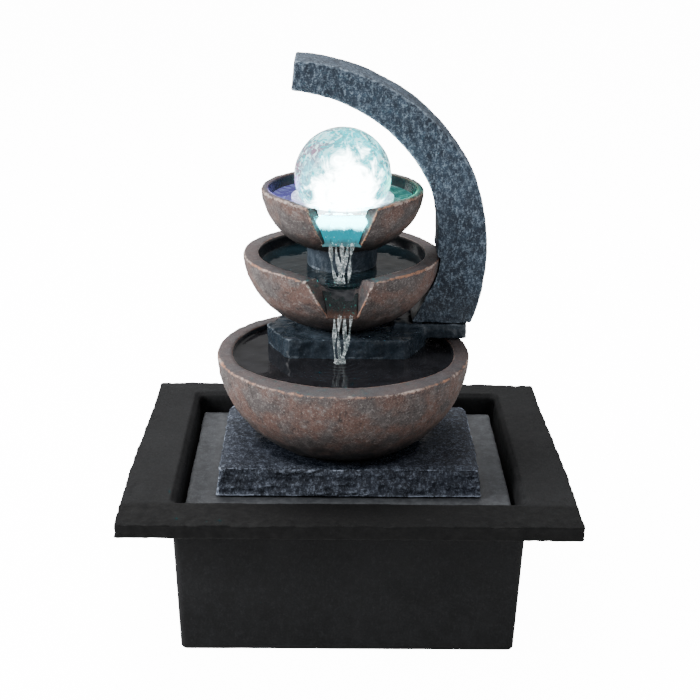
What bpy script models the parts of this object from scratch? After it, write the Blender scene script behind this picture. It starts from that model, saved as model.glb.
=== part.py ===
"""Tabletop water fountain: a slate tub with its tray and plinth, three spilling bowls on a rock,
a crescent arch, a lit crystal ball, and the pump, light and leads inside.
Metres, +Z up, +Y to the back. The origin is on the table, under the middle of the rim."""

import math

import bmesh
import bpy
from mathutils import Matrix, Vector

# ---- clearances -----------------------------------------------------------------------------
GAP = 0.0003                # between any two pieces that touch
PAST = 0.002                # how far a cutter reaches beyond the face it opens
DRAIN_GAP = 0.0020          # between the tray and the tub's walls

# ---- the tub --------------------------------------------------------------------------------
RIM_WIDTH = 0.210
RIM_DEPTH = 0.1724
RIM_THICKNESS = 0.0076
TUB_HEIGHT = 0.0802         # table to the rim's top
PAD_PROUD = 0.0008          # how far the rubber pads lift the tub
TUB_HALF_WIDTH = 0.0822     # outside, just under the rim
TUB_FRONT = -0.0640
TUB_BACK = 0.0715
TUB_TAPER = 0.0028          # each wall leans in by this at the foot
TUB_WALL = 0.0026
TUB_FLOOR = 0.0030
MOUTH_BEVEL = 0.0025
POST_SIDE = 0.0090          # corner posts that carry the tray
PAD_RADIUS = 0.0080
PAD_THICKNESS = 0.0014
PAD_INSET = 0.0160          # pad centre from the tub's foot edges

# ---- tray and plinth ------------------------------------------------------------------------
TRAY_DROP = 0.0100          # tray top below the rim top
TRAY_THICKNESS = 0.0030
PLINTH_HEIGHT = 0.0147
PLINTH_HALF_WIDTH = 0.0640
PLINTH_DRAFT = 0.0020
PLINTH_FRONT = -0.0390
PLINTH_BACK = 0.0440

# ---- the stack ------------------------------------------------------------------------------
STACK_X = -0.0040           # common centre of bowls, riser and ball
STACK_Y = 0.0320            # middle bowl, upper bowl, riser and ball
LOWER_X = -0.0030           # lower bowl stands further forward, and a little to the right
LOWER_Y = 0.0060
LOWER = dict(lip=0.0618, rim_wall=0.0082, height=0.0440, swell=0.0540, floor=0.0080)
MIDDLE = dict(lip=0.0492, rim_wall=0.0083, height=0.0355, swell=0.0395, floor=0.0055)
UPPER = dict(lip=0.0401, rim_wall=0.0041, height=0.0275, swell=0.0335, floor=0.0045)
ROCK_TOP_OVER_LIP = 0.0066  # rock top above the lower bowl's lip
UPPER_STEP = 0.0328         # upper lip above the middle lip
BOWL_STEPS = 36

# spout notches: centre x and half widths at the lip and at the foot, and the chute behind them,
# measured inwards from the lip's inner edge
UPPER_SPOUT = dict(drop=0.0220, lip_x=-0.0046, foot_x=-0.0044, lip_out=0.0174, lip_in=0.0110,
                   foot_out=0.0091, foot_in=0.0074, chute_lip=0.0018, chute_foot=0.0079)
MIDDLE_SPOUT = dict(drop=0.0212, lip_x=-0.0056, foot_x=-0.0038, lip_out=0.0165, lip_in=0.0102,
                    foot_out=0.0070, foot_in=0.0064, chute_lip=0.0020, chute_foot=0.0006)
WEIR_WIDTH = 0.0140
WEIR_DROP = 0.0055

# ---- rock and crescent ----------------------------------------------------------------------
ROCK_FRONT = 0.0004
ROCK_LEFT = -0.0325
ROCK_RIGHT = 0.0300
ROCK_FLARE = 0.0090         # how much wider the rock is behind its front corners
ROCK_BACK = 0.0460          # leaves a channel behind it, to the weir
ROCK_BACK_LEFT = -0.0300
SADDLE_HEIGHT = 0.0086      # saddle top above the lower lip
ARCH_FRONT = 0.0190
ARCH_THICKNESS = 0.0286
# upper and lower arc of each edge: centre x, centre height under the ball's centre, radius
ARCH_OUTER = ((-0.0316, 0.0455, 0.1034), (-0.0360, 0.0355, 0.1032))
ARCH_INNER = ((-0.0346, 0.0371, 0.0802), (-0.0345, 0.0292, 0.0771))
ARCH_TIP_OUTER = 87.8       # degrees on the upper arcs
ARCH_TIP_INNER = 86.2
ARCH_HANDOVER_OUTER = (27.0, 21.0)
ARCH_HANDOVER_INNER = (23.3, 18.0)
TENON = dict(x=0.0312, width=0.0055, y=0.0225, depth=0.0110, length=0.0150)

PEDESTAL_RADIUS = 0.0180    # the pedestal between the middle and the upper bowl
PEDESTAL_TAPER = 0.0014
PEDESTAL_LIFT = 0.0015      # its foot above the middle bowl's floor
PEDESTAL_CHAMFER = 0.0048
PEDESTAL_ROOM = 0.0008      # its foot inside the bowl's curve

# ---- ball, seat and light -------------------------------------------------------------------
BALL_RADIUS = 0.0238
BALL_OVER_LENS = 0.0007     # the water lifts the ball by this
SEAT_TOP_UNDER_BALL = 0.0096
SEAT_PROUD = 0.0016         # the seat's top edge outside the ball's radius
SEAT_FOOT_INSET = 0.0045    # the seat's foot inside the ball's radius
SEAT_FOOT_WIDTH = 0.0028
SEAT_GATE_WIDTH = 0.0050    # the water runs out through three gates in the foot
SEAT_GATE_HEIGHT = 0.0028
LIGHT_RADIUS = 0.0142
LIGHT_HEIGHT = 0.0100
LIGHT_WALL = 0.0010
LIGHT_FLANGE = 0.0165
FLANGE_THICKNESS = 0.0009
GASKET_THICKNESS = 0.0006
LED_COUNT = 4
LED_RADIUS = 0.0024
LENS_THICKNESS = 0.0013
LENS_OVER_FLOOR = 0.0022
BOARD_LIFT = 0.0028         # the board above the housing's foot
BOARD_THICKNESS = 0.0010
HOUSING_FLOOR = 0.0012
LED_SKIRT = 0.0012
GATE_ANGLES = (30, 150, 270)

# ---- water and wires ------------------------------------------------------------------------
RISER_RADIUS = 0.0045
RISER_BORE = 0.00325
NIPPLE_BORE = 0.0019
LEAD_OFFSET = 0.0100        # light lead beside the riser
LEAD_RADIUS = 0.0011
PUMP_LEAD_RADIUS = 0.0012
PLUG_RADIUS = 0.0040
PLUG_LENGTH = 0.0110
PASSAGE_ROOM = 0.0012       # round the riser and the plug, in the tray
SOCKET_LENGTH = 0.0100
PIN_RADIUS = 0.0015
PIN_LENGTH = 0.0045

# ---- pump -----------------------------------------------------------------------------------
CUP_HEIGHT = 0.0052
CUP_RADIUS = 0.0056
PUMP_WIDTH = 0.0360
PUMP_TALL = 0.0300
CASE_DEPTH = 0.0280
VOLUTE_DEPTH = 0.0095
VOLUTE_RADIUS = 0.0130
VOLUTE_WALL = 0.0018
EYE_RADIUS = 0.0052
NIPPLE_RISE = 0.0145        # nipple top above the pump's top
NIPPLE_GRIP = 0.0090        # length of nipple inside the riser
STRAINER_DEPTH = 0.0235
STRAINER_WALL = 0.0015
MAGNET_RADIUS = 0.0073
MAGNET_LENGTH = 0.0150
HUB_RADIUS = 0.0030
SHAFT_RADIUS = 0.0010
VANE_COUNT = 6
VANE_RADIUS = 0.0096
CORE_LEG = 0.0042
REGULATOR_RADIUS = 0.0092
PORT_CIRCLE = 0.0058        # three round ports in the strainer's face, behind the dial
PORT_RADIUS = 0.0021
PORT_ANGLES = (30, 150, 270)
PIVOT_RADIUS = 0.0016
SLOT_PITCH = 0.0044
SLOT_HALF_WIDTH = 0.0010
SLOT_HALF_LENGTH = 0.0048
SLOT_OFFSET = 0.0062        # two rows of slots, above and below the rotor's axis
CORE_HALF_HEIGHT = 0.0060
COIL_HALF_HEIGHT = 0.0090
CORE_BAR = 0.0026
COIL_OVER_BAR = 0.0017
CASE_SIDE_WALL = 0.0025
CASE_END_WALL = 0.0027
MAGNET_INSET = 0.0008       # behind the case's front face
BUSH_RADIUS = 0.0019
BOSS_RADIUS = 0.0027

# ---- inlet ----------------------------------------------------------------------------------
INLET_X = 0.0400
INLET_Z = 0.0550
INLET_BARREL = 0.0045
INLET_FLANGE = 0.0065
INLET_BORE = 0.0028
INLET_PIN = 0.0009
INLET_LIP = 0.0020
INLET_REACH = 0.0110        # the barrel inside the wall
WASHER = 0.0008
NUT_THICKNESS = 0.0028
BRACKET_THICKNESS = 0.0020
LEAD_SPREAD = 0.0018        # each lead beside the inlet's axis

# ---- worked out from the above --------------------------------------------------------------
TUB_FOOT = PAD_PROUD
FLOOR_TOP = TUB_FOOT + TUB_FLOOR
INNER_HALF_WIDTH = TUB_HALF_WIDTH - TUB_WALL
INNER_FRONT = TUB_FRONT + TUB_WALL
INNER_BACK = TUB_BACK - TUB_WALL
TRAY_TOP = TUB_HEIGHT - TRAY_DROP
TRAY_FOOT = TRAY_TOP - TRAY_THICKNESS
PLINTH_FOOT = TRAY_TOP + GAP
PLINTH_TOP = PLINTH_FOOT + PLINTH_HEIGHT
LOWER_FOOT = PLINTH_TOP + GAP
LOWER_LIP = LOWER_FOOT + LOWER["height"]
ROCK_TOP = LOWER_LIP + ROCK_TOP_OVER_LIP
SADDLE_TOP = LOWER_LIP + SADDLE_HEIGHT
MIDDLE_FOOT = ROCK_TOP + GAP
MIDDLE_LIP = MIDDLE_FOOT + MIDDLE["height"]
UPPER_LIP = MIDDLE_LIP + UPPER_STEP
UPPER_FOOT = UPPER_LIP - UPPER["height"]
PUMP_FOOT = FLOOR_TOP + GAP + CUP_HEIGHT + GAP
PUMP_TOP = PUMP_FOOT + PUMP_TALL
ROTOR_Z = PUMP_FOOT + PUMP_TALL / 2
CASE_FRONT = STACK_Y + 0.0040
CASE_BACK = CASE_FRONT + CASE_DEPTH
VOLUTE_BACK = CASE_FRONT - GAP
VOLUTE_FRONT = VOLUTE_BACK - VOLUTE_DEPTH
NIPPLE_RADIUS = RISER_BORE - GAP
NIPPLE_TOP = PUMP_TOP + NIPPLE_RISE
RISER_FOOT = NIPPLE_TOP - NIPPLE_GRIP
LENS_FOOT = UPPER_FOOT + UPPER["floor"] + LENS_OVER_FLOOR
LENS_TOP = LENS_FOOT + LENS_THICKNESS
BALL_Z = LENS_TOP + BALL_OVER_LENS + BALL_RADIUS
SEAT_RADIUS = BALL_RADIUS + SEAT_PROUD
SEAT_FOOT_OUT = BALL_RADIUS - SEAT_FOOT_INSET
SEAT_FOOT_IN = SEAT_FOOT_OUT - SEAT_FOOT_WIDTH
FLANGE_TOP = LENS_FOOT - GAP
FLANGE_FOOT = FLANGE_TOP - FLANGE_THICKNESS
GASKET_TOP = FLANGE_FOOT - GAP
GASKET_FOOT = GASKET_TOP - GASKET_THICKNESS
LIGHT_FOOT = LENS_FOOT - LIGHT_HEIGHT
LEAD_X = STACK_X + LEAD_OFFSET


# ---- scene and helpers ----------------------------------------------------------------------
def start():
    for obj in list(bpy.data.objects):
        bpy.data.objects.remove(obj, do_unlink=True)
    parts = bpy.data.collections.new("tabletop_water_fountain")
    cutters = bpy.data.collections.new("cutters")
    for collection in (parts, cutters):
        bpy.context.scene.collection.children.link(collection)
    cutters.hide_render = True
    return parts, cutters


PARTS, CUTTERS = start()


def material(name, color, roughness, metallic=0.0):
    made = bpy.data.materials.new(name)
    made.use_nodes = True
    shader = made.node_tree.nodes["Principled BSDF"]
    shader.inputs["Base Color"].default_value = (*color, 1.0)
    shader.inputs["Roughness"].default_value = roughness
    shader.inputs["Metallic"].default_value = metallic
    return made


SLATE_BLACK = material("slate_black", (0.022, 0.024, 0.025), 0.75)
SLATE_GREY = material("slate_grey", (0.075, 0.08, 0.085), 0.8)
SLATE_BLUE = material("slate_blue", (0.04, 0.05, 0.06), 0.75)
BRONZE = material("bronze_resin", (0.14, 0.09, 0.075), 0.6)
ROCK = material("dark_rock", (0.018, 0.022, 0.028), 0.5)
CRYSTAL = material("crystal", (0.8, 0.95, 1.0), 0.05)
CLEAR = material("clear_plastic", (0.85, 0.9, 0.92), 0.1)
BLACK_PLASTIC = material("black_plastic", (0.015, 0.015, 0.016), 0.45)
WHITE_PLASTIC = material("white_plastic", (0.7, 0.7, 0.68), 0.4)
RUBBER = material("rubber", (0.02, 0.02, 0.02), 0.85)
STEEL = material("steel", (0.55, 0.55, 0.56), 0.3, 1.0)
COPPER = material("copper", (0.7, 0.3, 0.15), 0.35, 1.0)
FERRITE = material("ferrite", (0.05, 0.05, 0.055), 0.5)
SPONGE = material("sponge", (0.03, 0.03, 0.03), 0.95)
BOARD = material("circuit_board", (0.75, 0.76, 0.72), 0.5)
LED = material("led_epoxy", (0.85, 0.95, 1.0), 0.15)
CERAMIC = material("ceramic", (0.8, 0.8, 0.78), 0.3)
EPOXY = material("epoxy", (0.02, 0.02, 0.025), 0.25)


def finish(obj, look, smooth=False):
    obj.data.materials.append(look)
    if smooth:
        obj.data.shade_smooth()
    return obj


def new_object(name, mesh):
    obj = bpy.data.objects.new(name, mesh)
    PARTS.objects.link(obj)
    return obj


def from_bmesh(name, shape):
    bmesh.ops.recalc_face_normals(shape, faces=shape.faces)
    mesh = bpy.data.meshes.new(name)
    shape.to_mesh(mesh)
    shape.free()
    return new_object(name, mesh)


def bevel(obj, width, segments=2):
    made = obj.modifiers.new("bevel", "BEVEL")
    made.width = width
    made.segments = segments
    made.limit_method = "ANGLE"
    made.angle_limit = math.radians(40)
    return obj


def box(name, low, high, taper=(0.0, 0.0)):
    """A box between two corners; taper draws the top (+) or the foot (-) in along x and y."""
    shape = bmesh.new()
    bmesh.ops.create_cube(shape, size=1.0)
    middle = (Vector(low) + Vector(high)) / 2
    size = Vector(high) - Vector(low)
    for vert in shape.verts:
        top = vert.co.z > 0
        for axis in (0, 1):
            drawn = max(taper[axis], 0.0) if top else max(-taper[axis], 0.0)
            side = math.copysign(size[axis] / 2 - drawn, vert.co[axis])
            vert.co[axis] = side
        vert.co.z *= size.z
        vert.co += middle
    return from_bmesh(name, shape)


def rod(name, radius, start, end, steps=24):
    """A cylinder from start to end."""
    start, end = Vector(start), Vector(end)
    shape = bmesh.new()
    along = end - start
    turn = along.to_track_quat("Z", "Y").to_matrix().to_4x4()
    place = Matrix.Translation((start + end) / 2) @ turn
    bmesh.ops.create_cone(
        shape, cap_ends=True, segments=steps, radius1=radius, radius2=radius,
        depth=along.length, matrix=place,
    )
    return from_bmesh(name, shape)


def turned(name, profile, centre=(0.0, 0.0, 0.0), steps=32, closed=True, facing=None):
    """A profile of (radius, height) turned about Z. It runs down its outer side."""
    mesh = bpy.data.meshes.new(name)
    points = [(r, 0.0, z) for r, z in profile]
    edges = [(i, i + 1) for i in range(len(points) - 1)]
    if closed:
        edges.append((len(points) - 1, 0))
    mesh.from_pydata(points, edges, [])
    obj = new_object(name, mesh)
    screw = obj.modifiers.new("turn", "SCREW")
    screw.axis = "Z"
    screw.steps = steps
    screw.render_steps = steps
    screw.use_merge_vertices = True
    screw.merge_threshold = 0.00001
    screw.use_smooth_shade = True
    if facing is not None:
        obj.rotation_euler = Vector(facing).to_track_quat("Z", "X").to_euler()
    obj.location = centre
    return obj


def meshed(obj):
    """The mesh that a curve makes, its caps welded, as a new object in place of the curve."""
    bpy.context.view_layer.update()
    evaluated = obj.evaluated_get(bpy.context.evaluated_depsgraph_get())
    mesh = bpy.data.meshes.new_from_object(evaluated)
    shape = bmesh.new()
    shape.from_mesh(mesh)
    bmesh.ops.remove_doubles(shape, verts=shape.verts, dist=0.000001)
    shape.to_mesh(mesh)
    shape.free()
    name = obj.name
    place = obj.matrix_world.copy()
    curve = obj.data
    bpy.data.objects.remove(obj, do_unlink=True)
    bpy.data.curves.remove(curve)
    made = new_object(name, mesh)
    made.matrix_world = place
    return made


def plate(name, outline, low, high, along="Z"):
    """A flat outline extruded from low to high along Z, or, drawn in x and z, along Y."""
    curve = bpy.data.curves.new(name, "CURVE")
    curve.dimensions = "2D"
    curve.fill_mode = "BOTH"
    curve.extrude = (high - low) / 2
    spline = curve.splines.new("POLY")
    spline.points.add(len(outline) - 1)
    for point, (u, v) in zip(spline.points, outline):
        point.co = (u, v, 0.0, 1.0)
    spline.use_cyclic_u = True
    obj = new_object(name, curve)
    if along == "Y":
        obj.rotation_euler = (math.radians(90), 0.0, 0.0)
        obj.location = (0.0, (low + high) / 2, 0.0)
    else:
        obj.location = (0.0, 0.0, (low + high) / 2)
    return meshed(obj)


def carve(target, tool, operation="DIFFERENCE"):
    """Cuts the tool from the target, or joins it on, and puts it with the cutters."""
    PARTS.objects.unlink(tool)
    CUTTERS.objects.link(tool)
    tool.name = "cut_" + tool.name
    tool.hide_render = True
    tool.display_type = "WIRE"
    made = target.modifiers.new(tool.name, "BOOLEAN")
    made.operation = operation
    made.object = tool
    made.solver = "EXACT"
    return target


def join(target, tool):
    return carve(target, tool, "UNION")


def wire(name, points, radius, spacing, look):
    """A lead on one smooth curve through the points, kept as short straight steps."""
    guide = [Vector(p) for p in points]
    ends = [2 * guide[0] - guide[1]] + guide + [2 * guide[-1] - guide[-2]]
    route = [guide[0]]
    for a, b, c, d in zip(ends, ends[1:], ends[2:], ends[3:]):
        count = max(1, round((c - b).length / spacing))
        for i in range(1, count + 1):
            t = i / count
            route.append(0.5 * (2 * b + (c - a) * t + (2 * a - 5 * b + 4 * c - d) * t * t
                                + (3 * b - a - 3 * c + d) * t ** 3))
    curve = bpy.data.curves.new(name, "CURVE")
    curve.dimensions = "3D"
    curve.bevel_depth = radius
    curve.bevel_resolution = 2
    curve.use_fill_caps = True
    spline = curve.splines.new("POLY")
    spline.points.add(len(route) - 1)
    for point, place in zip(spline.points, route):
        point.co = (*place, 1.0)
    curve.materials.append(look)
    return new_object(name, curve)


# ---- the tub --------------------------------------------------------------------------------
def rim_outline(points_a_side=11):
    """A cleft slate edge: a rectangle whose sides wander inwards from its full size."""
    half_x, half_y = RIM_WIDTH / 2, RIM_DEPTH / 2
    corner, crown, narrowing, ripple = 0.0014, 0.0028, 0.0024, 0.0004

    def side_inset(t):
        """How far the left or right edge lies inside the full width, t from front -1 to back 1."""
        if t > -0.4:
            return narrowing * (1 - math.exp(-((t + 0.4) / 0.5) ** 2))
        return ripple * (1 - math.cos(2 * math.pi * (t + 0.4) / 0.6)) / 2

    ends = 1 - corner / half_y
    steps = [ends * (-1 + 2 * i / (points_a_side - 1)) for i in range(points_a_side)]
    front = [(half_x * t, -half_y + ripple * (1 - math.cos(9.0 * t)) / 2) for t in steps]
    right = [(half_x - side_inset(t), half_y * t) for t in steps]
    back = [
        ((half_x - narrowing) * -t, half_y - crown * t * t - ripple * abs(math.sin(6.0 * t)))
        for t in steps
    ]
    left = [(-half_x + side_inset(-t), -half_y * t) for t in steps]
    right[-1] = (right[-1][0] - corner, half_y - crown - corner)
    left[0] = (left[0][0] + corner, half_y - crown - corner)
    return front + right + back + left


def make_basin():
    tub_top = TUB_HEIGHT - RIM_THICKNESS / 2
    basin = box("basin", (-TUB_HALF_WIDTH, TUB_FRONT, TUB_FOOT), (TUB_HALF_WIDTH, TUB_BACK, tub_top),
                taper=(-TUB_TAPER, -TUB_TAPER))
    bevel(basin, 0.0040, 2)
    rim = plate("rim", rim_outline(), TUB_HEIGHT - RIM_THICKNESS, TUB_HEIGHT)
    bevel(rim, 0.0009, 1)
    join(basin, rim)
    hollow = box("tub_hollow", (-INNER_HALF_WIDTH, INNER_FRONT, FLOOR_TOP),
                 (INNER_HALF_WIDTH, INNER_BACK, TUB_HEIGHT + 0.010), taper=(-TUB_TAPER, -TUB_TAPER))
    bevel(hollow, 0.0030, 1)
    carve(basin, hollow)
    mouth_foot = TUB_HEIGHT - MOUTH_BEVEL
    mouth = box("mouth", (-INNER_HALF_WIDTH - MOUTH_BEVEL, INNER_FRONT - MOUTH_BEVEL, mouth_foot),
                (INNER_HALF_WIDTH + MOUTH_BEVEL, INNER_BACK + MOUTH_BEVEL, TUB_HEIGHT + MOUTH_BEVEL),
                taper=(-MOUTH_BEVEL * 1.05, -MOUTH_BEVEL * 1.05))
    carve(basin, mouth)
    for x in (-1, 1):
        for wall, step in ((INNER_FRONT, 1), (INNER_BACK, -1)):
            corner = Vector((x * (INNER_HALF_WIDTH + TUB_WALL / 2), wall - step * TUB_WALL / 2))
            inner = Vector((x * (INNER_HALF_WIDTH - POST_SIDE), wall + step * POST_SIDE))
            low = (min(corner.x, inner.x), min(corner.y, inner.y), TUB_FOOT + TUB_FLOOR / 2)
            high = (max(corner.x, inner.x), max(corner.y, inner.y), TRAY_FOOT - GAP)
            post = box("post", low, high, taper=(-TUB_TAPER, -TUB_TAPER))
            join(basin, post)
    for x, y in pad_places():
        carve(basin, rod("pad_seat", PAD_RADIUS + GAP, (x, y, TUB_FOOT - PAST),
                         (x, y, PAD_THICKNESS + GAP), 28))
    carve(basin, rod("inlet_hole", INLET_BARREL + GAP, (INLET_X, INNER_BACK - 0.004, INLET_Z),
                     (INLET_X, TUB_BACK + 0.003, INLET_Z), 24))
    return finish(basin, SLATE_BLACK)


def pad_places():
    x = TUB_HALF_WIDTH - TUB_TAPER - PAD_INSET
    front = TUB_FRONT + TUB_TAPER + PAD_INSET
    back = TUB_BACK - TUB_TAPER - PAD_INSET
    return [(-x, front), (x, front), (-x, back), (x, back)]


def make_pads():
    for number, (x, y) in enumerate(pad_places(), 1):
        pad = rod(f"foot_pad_{number}", PAD_RADIUS, (x, y, 0.0), (x, y, PAD_THICKNESS), 28)
        finish(pad, RUBBER)


# ---- tray and plinth ------------------------------------------------------------------------
def passage(name, low, high):
    """The opening in the tray that the riser and the light's plug pass through."""
    reach = max(PLUG_RADIUS, RISER_RADIUS) + PASSAGE_ROOM
    return box(name, (STACK_X - reach - PAST, STACK_Y - reach, low), (LEAD_X + reach, STACK_Y + reach, high))


def make_tray():
    edge_x = INNER_HALF_WIDTH - DRAIN_GAP
    front, back = INNER_FRONT + DRAIN_GAP, INNER_BACK - DRAIN_GAP
    tray = box("slate_tray", (-edge_x, front, TRAY_FOOT), (edge_x, back, TRAY_TOP))
    bevel(tray, 0.0006, 1)
    carve(tray, passage("tray_passage", TRAY_FOOT - PAST, TRAY_TOP + PAST))
    return finish(tray, SLATE_GREY)


def make_plinth():
    plinth = box("slate_plinth", (-PLINTH_HALF_WIDTH, PLINTH_FRONT, PLINTH_FOOT),
                 (PLINTH_HALF_WIDTH, PLINTH_BACK, PLINTH_TOP), taper=(PLINTH_DRAFT, PLINTH_DRAFT))
    bevel(plinth, 0.0014, 2)
    bore(plinth, PLINTH_FOOT, PLINTH_TOP)
    return finish(plinth, SLATE_BLUE)


def bore(piece, low, high, lead=True):
    """Drills the riser's hole and, beside it, the light lead's hole."""
    over = 0.002
    carve(piece, rod("riser_hole", RISER_RADIUS + GAP, (STACK_X, STACK_Y, low - over),
                     (STACK_X, STACK_Y, high + over), 20))
    if lead:
        carve(piece, rod("lead_hole", LEAD_RADIUS + GAP, (LEAD_X, STACK_Y, low - over),
                         (LEAD_X, STACK_Y, high + over), 12))


# ---- bowls ----------------------------------------------------------------------------------
def outer_curve(size, grow=0.0, count=7):
    """Points of a bowl's outside from the lip down, as (radius, depth below the lip)."""
    lip, swell = size["lip"] + grow, size["swell"] + grow
    last = math.asin(min((size["height"] + grow) / swell, 1.0))
    return [(lip * math.cos(last * i / count), swell * math.sin(last * i / count)) for i in range(count + 1)]


def inner_curve(size, shrink=0.0, count=6):
    """Points of a bowl's inside from the lip down to its middle, as (radius, depth)."""
    lip = size["lip"] - size["rim_wall"] - shrink
    deep = size["height"] - size["floor"] - shrink
    quarter = math.pi / 2
    angles = [quarter * i / count for i in range(count + 1)]
    return [(lip * math.cos(angle), deep * math.sin(angle)) for angle in angles]


def bowl_profile(size, lip_z):
    lip, wall = size["lip"], size["rim_wall"]
    soft = min(0.0010, wall / 4)
    inside = [(r, lip_z - d) for r, d in inner_curve(size)][1:]
    outside = [(r, lip_z - d) for r, d in outer_curve(size)][1:]
    profile = [(max(r, 0.0), z) for r, z in reversed(inside)]
    profile[0] = (0.0, profile[0][1])
    profile += [(lip - wall, lip_z - soft), (lip - wall + soft, lip_z - soft * 0.2)]
    profile += [(lip - soft, lip_z), (lip, lip_z - soft)]
    profile += outside
    profile.append((0.0, outside[-1][1]))
    return profile


def spout_ring(size, spout, depth):
    """One level of a notch: its outer edges on the bowl's outside, its inner ones at the chute."""
    share = depth / spout["drop"]
    x = spout["lip_x"] + (spout["foot_x"] - spout["lip_x"]) * share
    outer = spout["lip_out"] + (spout["foot_out"] - spout["lip_out"]) * share
    inner = spout["lip_in"] + (spout["foot_in"] - spout["lip_in"]) * share
    chute = spout["chute_lip"] + (spout["chute_foot"] - spout["chute_lip"]) * share
    radius = size["lip"] * math.sqrt(1 - (max(depth, 0.0) / size["height"]) ** 2)
    y_outer = STACK_Y - math.sqrt(radius ** 2 - outer ** 2)
    y_inner = STACK_Y - size["lip"] + size["rim_wall"] + chute
    flare = 1.5
    wide = inner + (outer - inner) * flare
    y_wide = y_inner + (y_outer - y_inner) * flare
    y_front = STACK_Y - size["lip"] - PAST
    half = [(-inner, y_inner), (-wide, y_wide), (-wide, y_front)]
    return [(x + w, y) for w, y in half] + [(x - w, y) for w, y in reversed(half)]


def spout_cutter(name, size, spout, lip_z):
    """A flared notch, wider outside and at the lip, with a sloping chute behind its cheeks."""
    levels = 5
    depths = [-PAST] + [spout["drop"] * i / levels for i in range(levels + 1)]
    shape = bmesh.new()
    rings = [[shape.verts.new((x, y, lip_z - depth)) for x, y in spout_ring(size, spout, depth)]
             for depth in depths]
    for upper, lower in zip(rings, rings[1:]):
        for i in range(len(upper)):
            after = (i + 1) % len(upper)
            shape.faces.new((upper[i], lower[i], lower[after], upper[after]))
    shape.faces.new(rings[0])
    shape.faces.new(rings[-1])
    bmesh.ops.triangulate(shape, faces=shape.faces)
    bmesh.ops.recalc_face_normals(shape, faces=shape.faces)
    return from_bmesh(name, shape)


def make_bowl(name, size, lip_z, x, y):
    bowl = turned(name, bowl_profile(size, lip_z), (x, y, 0.0), BOWL_STEPS, closed=False)
    finish(bowl, BRONZE)
    return bowl


def make_bowls():
    lower = make_bowl("lower_bowl", LOWER, LOWER_LIP, LOWER_X, LOWER_Y)
    bore(lower, LOWER_FOOT, LOWER_FOOT + 0.020)
    back = LOWER_Y + LOWER["lip"]
    carve(lower, box("weir", (LOWER_X - WEIR_WIDTH / 2, back - 2 * LOWER["rim_wall"], LOWER_LIP - WEIR_DROP),
                     (LOWER_X + WEIR_WIDTH / 2, back + 0.004, LOWER_LIP + 0.004)))
    middle = make_bowl("middle_bowl", MIDDLE, MIDDLE_LIP, STACK_X, STACK_Y)
    carve(middle, spout_cutter("middle_spout", MIDDLE, MIDDLE_SPOUT, MIDDLE_LIP))
    bore(middle, MIDDLE_FOOT, MIDDLE_FOOT + MIDDLE["floor"])
    upper = make_bowl("upper_bowl", UPPER, UPPER_LIP, STACK_X, STACK_Y)
    carve(upper, spout_cutter("upper_spout", UPPER, UPPER_SPOUT, UPPER_LIP))
    carve(upper, rod("light_hole", LIGHT_RADIUS + GAP, (STACK_X, STACK_Y, UPPER_FOOT - PAST),
                     (STACK_X, STACK_Y, UPPER_FOOT + 0.010), 24))
    carve(upper, rod("light_seat", LIGHT_FLANGE + 2 * GAP, (STACK_X, STACK_Y, GASKET_FOOT - GAP),
                     (STACK_X, STACK_Y, UPPER_FOOT + 0.012), 24))


# ---- rock, crescent, upper pedestal ---------------------------------------------------------
def make_rock():
    """Stands in the lower bowl, carries the middle bowl, and saddles the lip under the arch."""
    chamfer, waist = 0.003, ROCK_FRONT + 0.022
    left, right = ROCK_LEFT - ROCK_FLARE, ROCK_RIGHT + ROCK_FLARE
    foot_outline = [
        (ROCK_LEFT + chamfer, ROCK_FRONT), (ROCK_RIGHT - chamfer, ROCK_FRONT),
        (ROCK_RIGHT, ROCK_FRONT + chamfer), (right, waist), (right, ROCK_BACK),
        (ROCK_BACK_LEFT, ROCK_BACK), (left, waist), (ROCK_LEFT, ROCK_FRONT + chamfer),
    ]
    rock = plate("pedestal_rock", foot_outline, LOWER_FOOT + LOWER["floor"] * 0.5, ROCK_TOP)
    bowl_inside = [(r, LOWER_LIP - d) for r, d in inner_curve(LOWER, shrink=GAP)]
    inner = LOWER["lip"] - LOWER["rim_wall"] - GAP
    profile = [(0.0, ROCK_TOP + 0.01), (inner, ROCK_TOP + 0.01)] + bowl_inside
    profile[-1] = (0.0, profile[-1][1])
    carve(rock, turned("bowl_room", profile, (LOWER_X, LOWER_Y, 0.0), BOWL_STEPS, closed=False), "INTERSECT")
    arch_back = ARCH_FRONT + ARCH_THICKNESS
    saddle_outline = [
        (STACK_X + 0.026, ARCH_FRONT + 0.0006), (0.0575, ARCH_FRONT + 0.0006), (0.0590, ARCH_FRONT + PAST),
        (0.0590, arch_back - 0.004), (0.0560, arch_back + 0.001), (STACK_X + 0.018, arch_back + 0.004),
    ]
    saddle = plate("saddle", saddle_outline, LOWER_LIP + GAP, SADDLE_TOP)
    join(rock, saddle)
    tenon = tenon_box("socket", GAP)
    carve(rock, tenon)
    middle_room = [(r, MIDDLE_LIP - d) for r, d in outer_curve(MIDDLE, grow=GAP)]
    middle_room = [(0.0, MIDDLE_LIP)] + middle_room + [(0.0, middle_room[-1][1])]
    carve(rock, turned("middle_room", middle_room, (STACK_X, STACK_Y, 0.0), BOWL_STEPS, closed=False))
    bore(rock, LOWER_FOOT, ROCK_TOP)
    return finish(rock, ROCK)


def tenon_box(name, grow=0.0, over=0.0):
    t = TENON
    low = (t["x"] - grow, t["y"] - grow, SADDLE_TOP - t["length"] - grow)
    high = (t["x"] + t["width"] + grow, t["y"] + t["depth"] + grow, SADDLE_TOP + PAST + over)
    return box(name, low, high)


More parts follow.
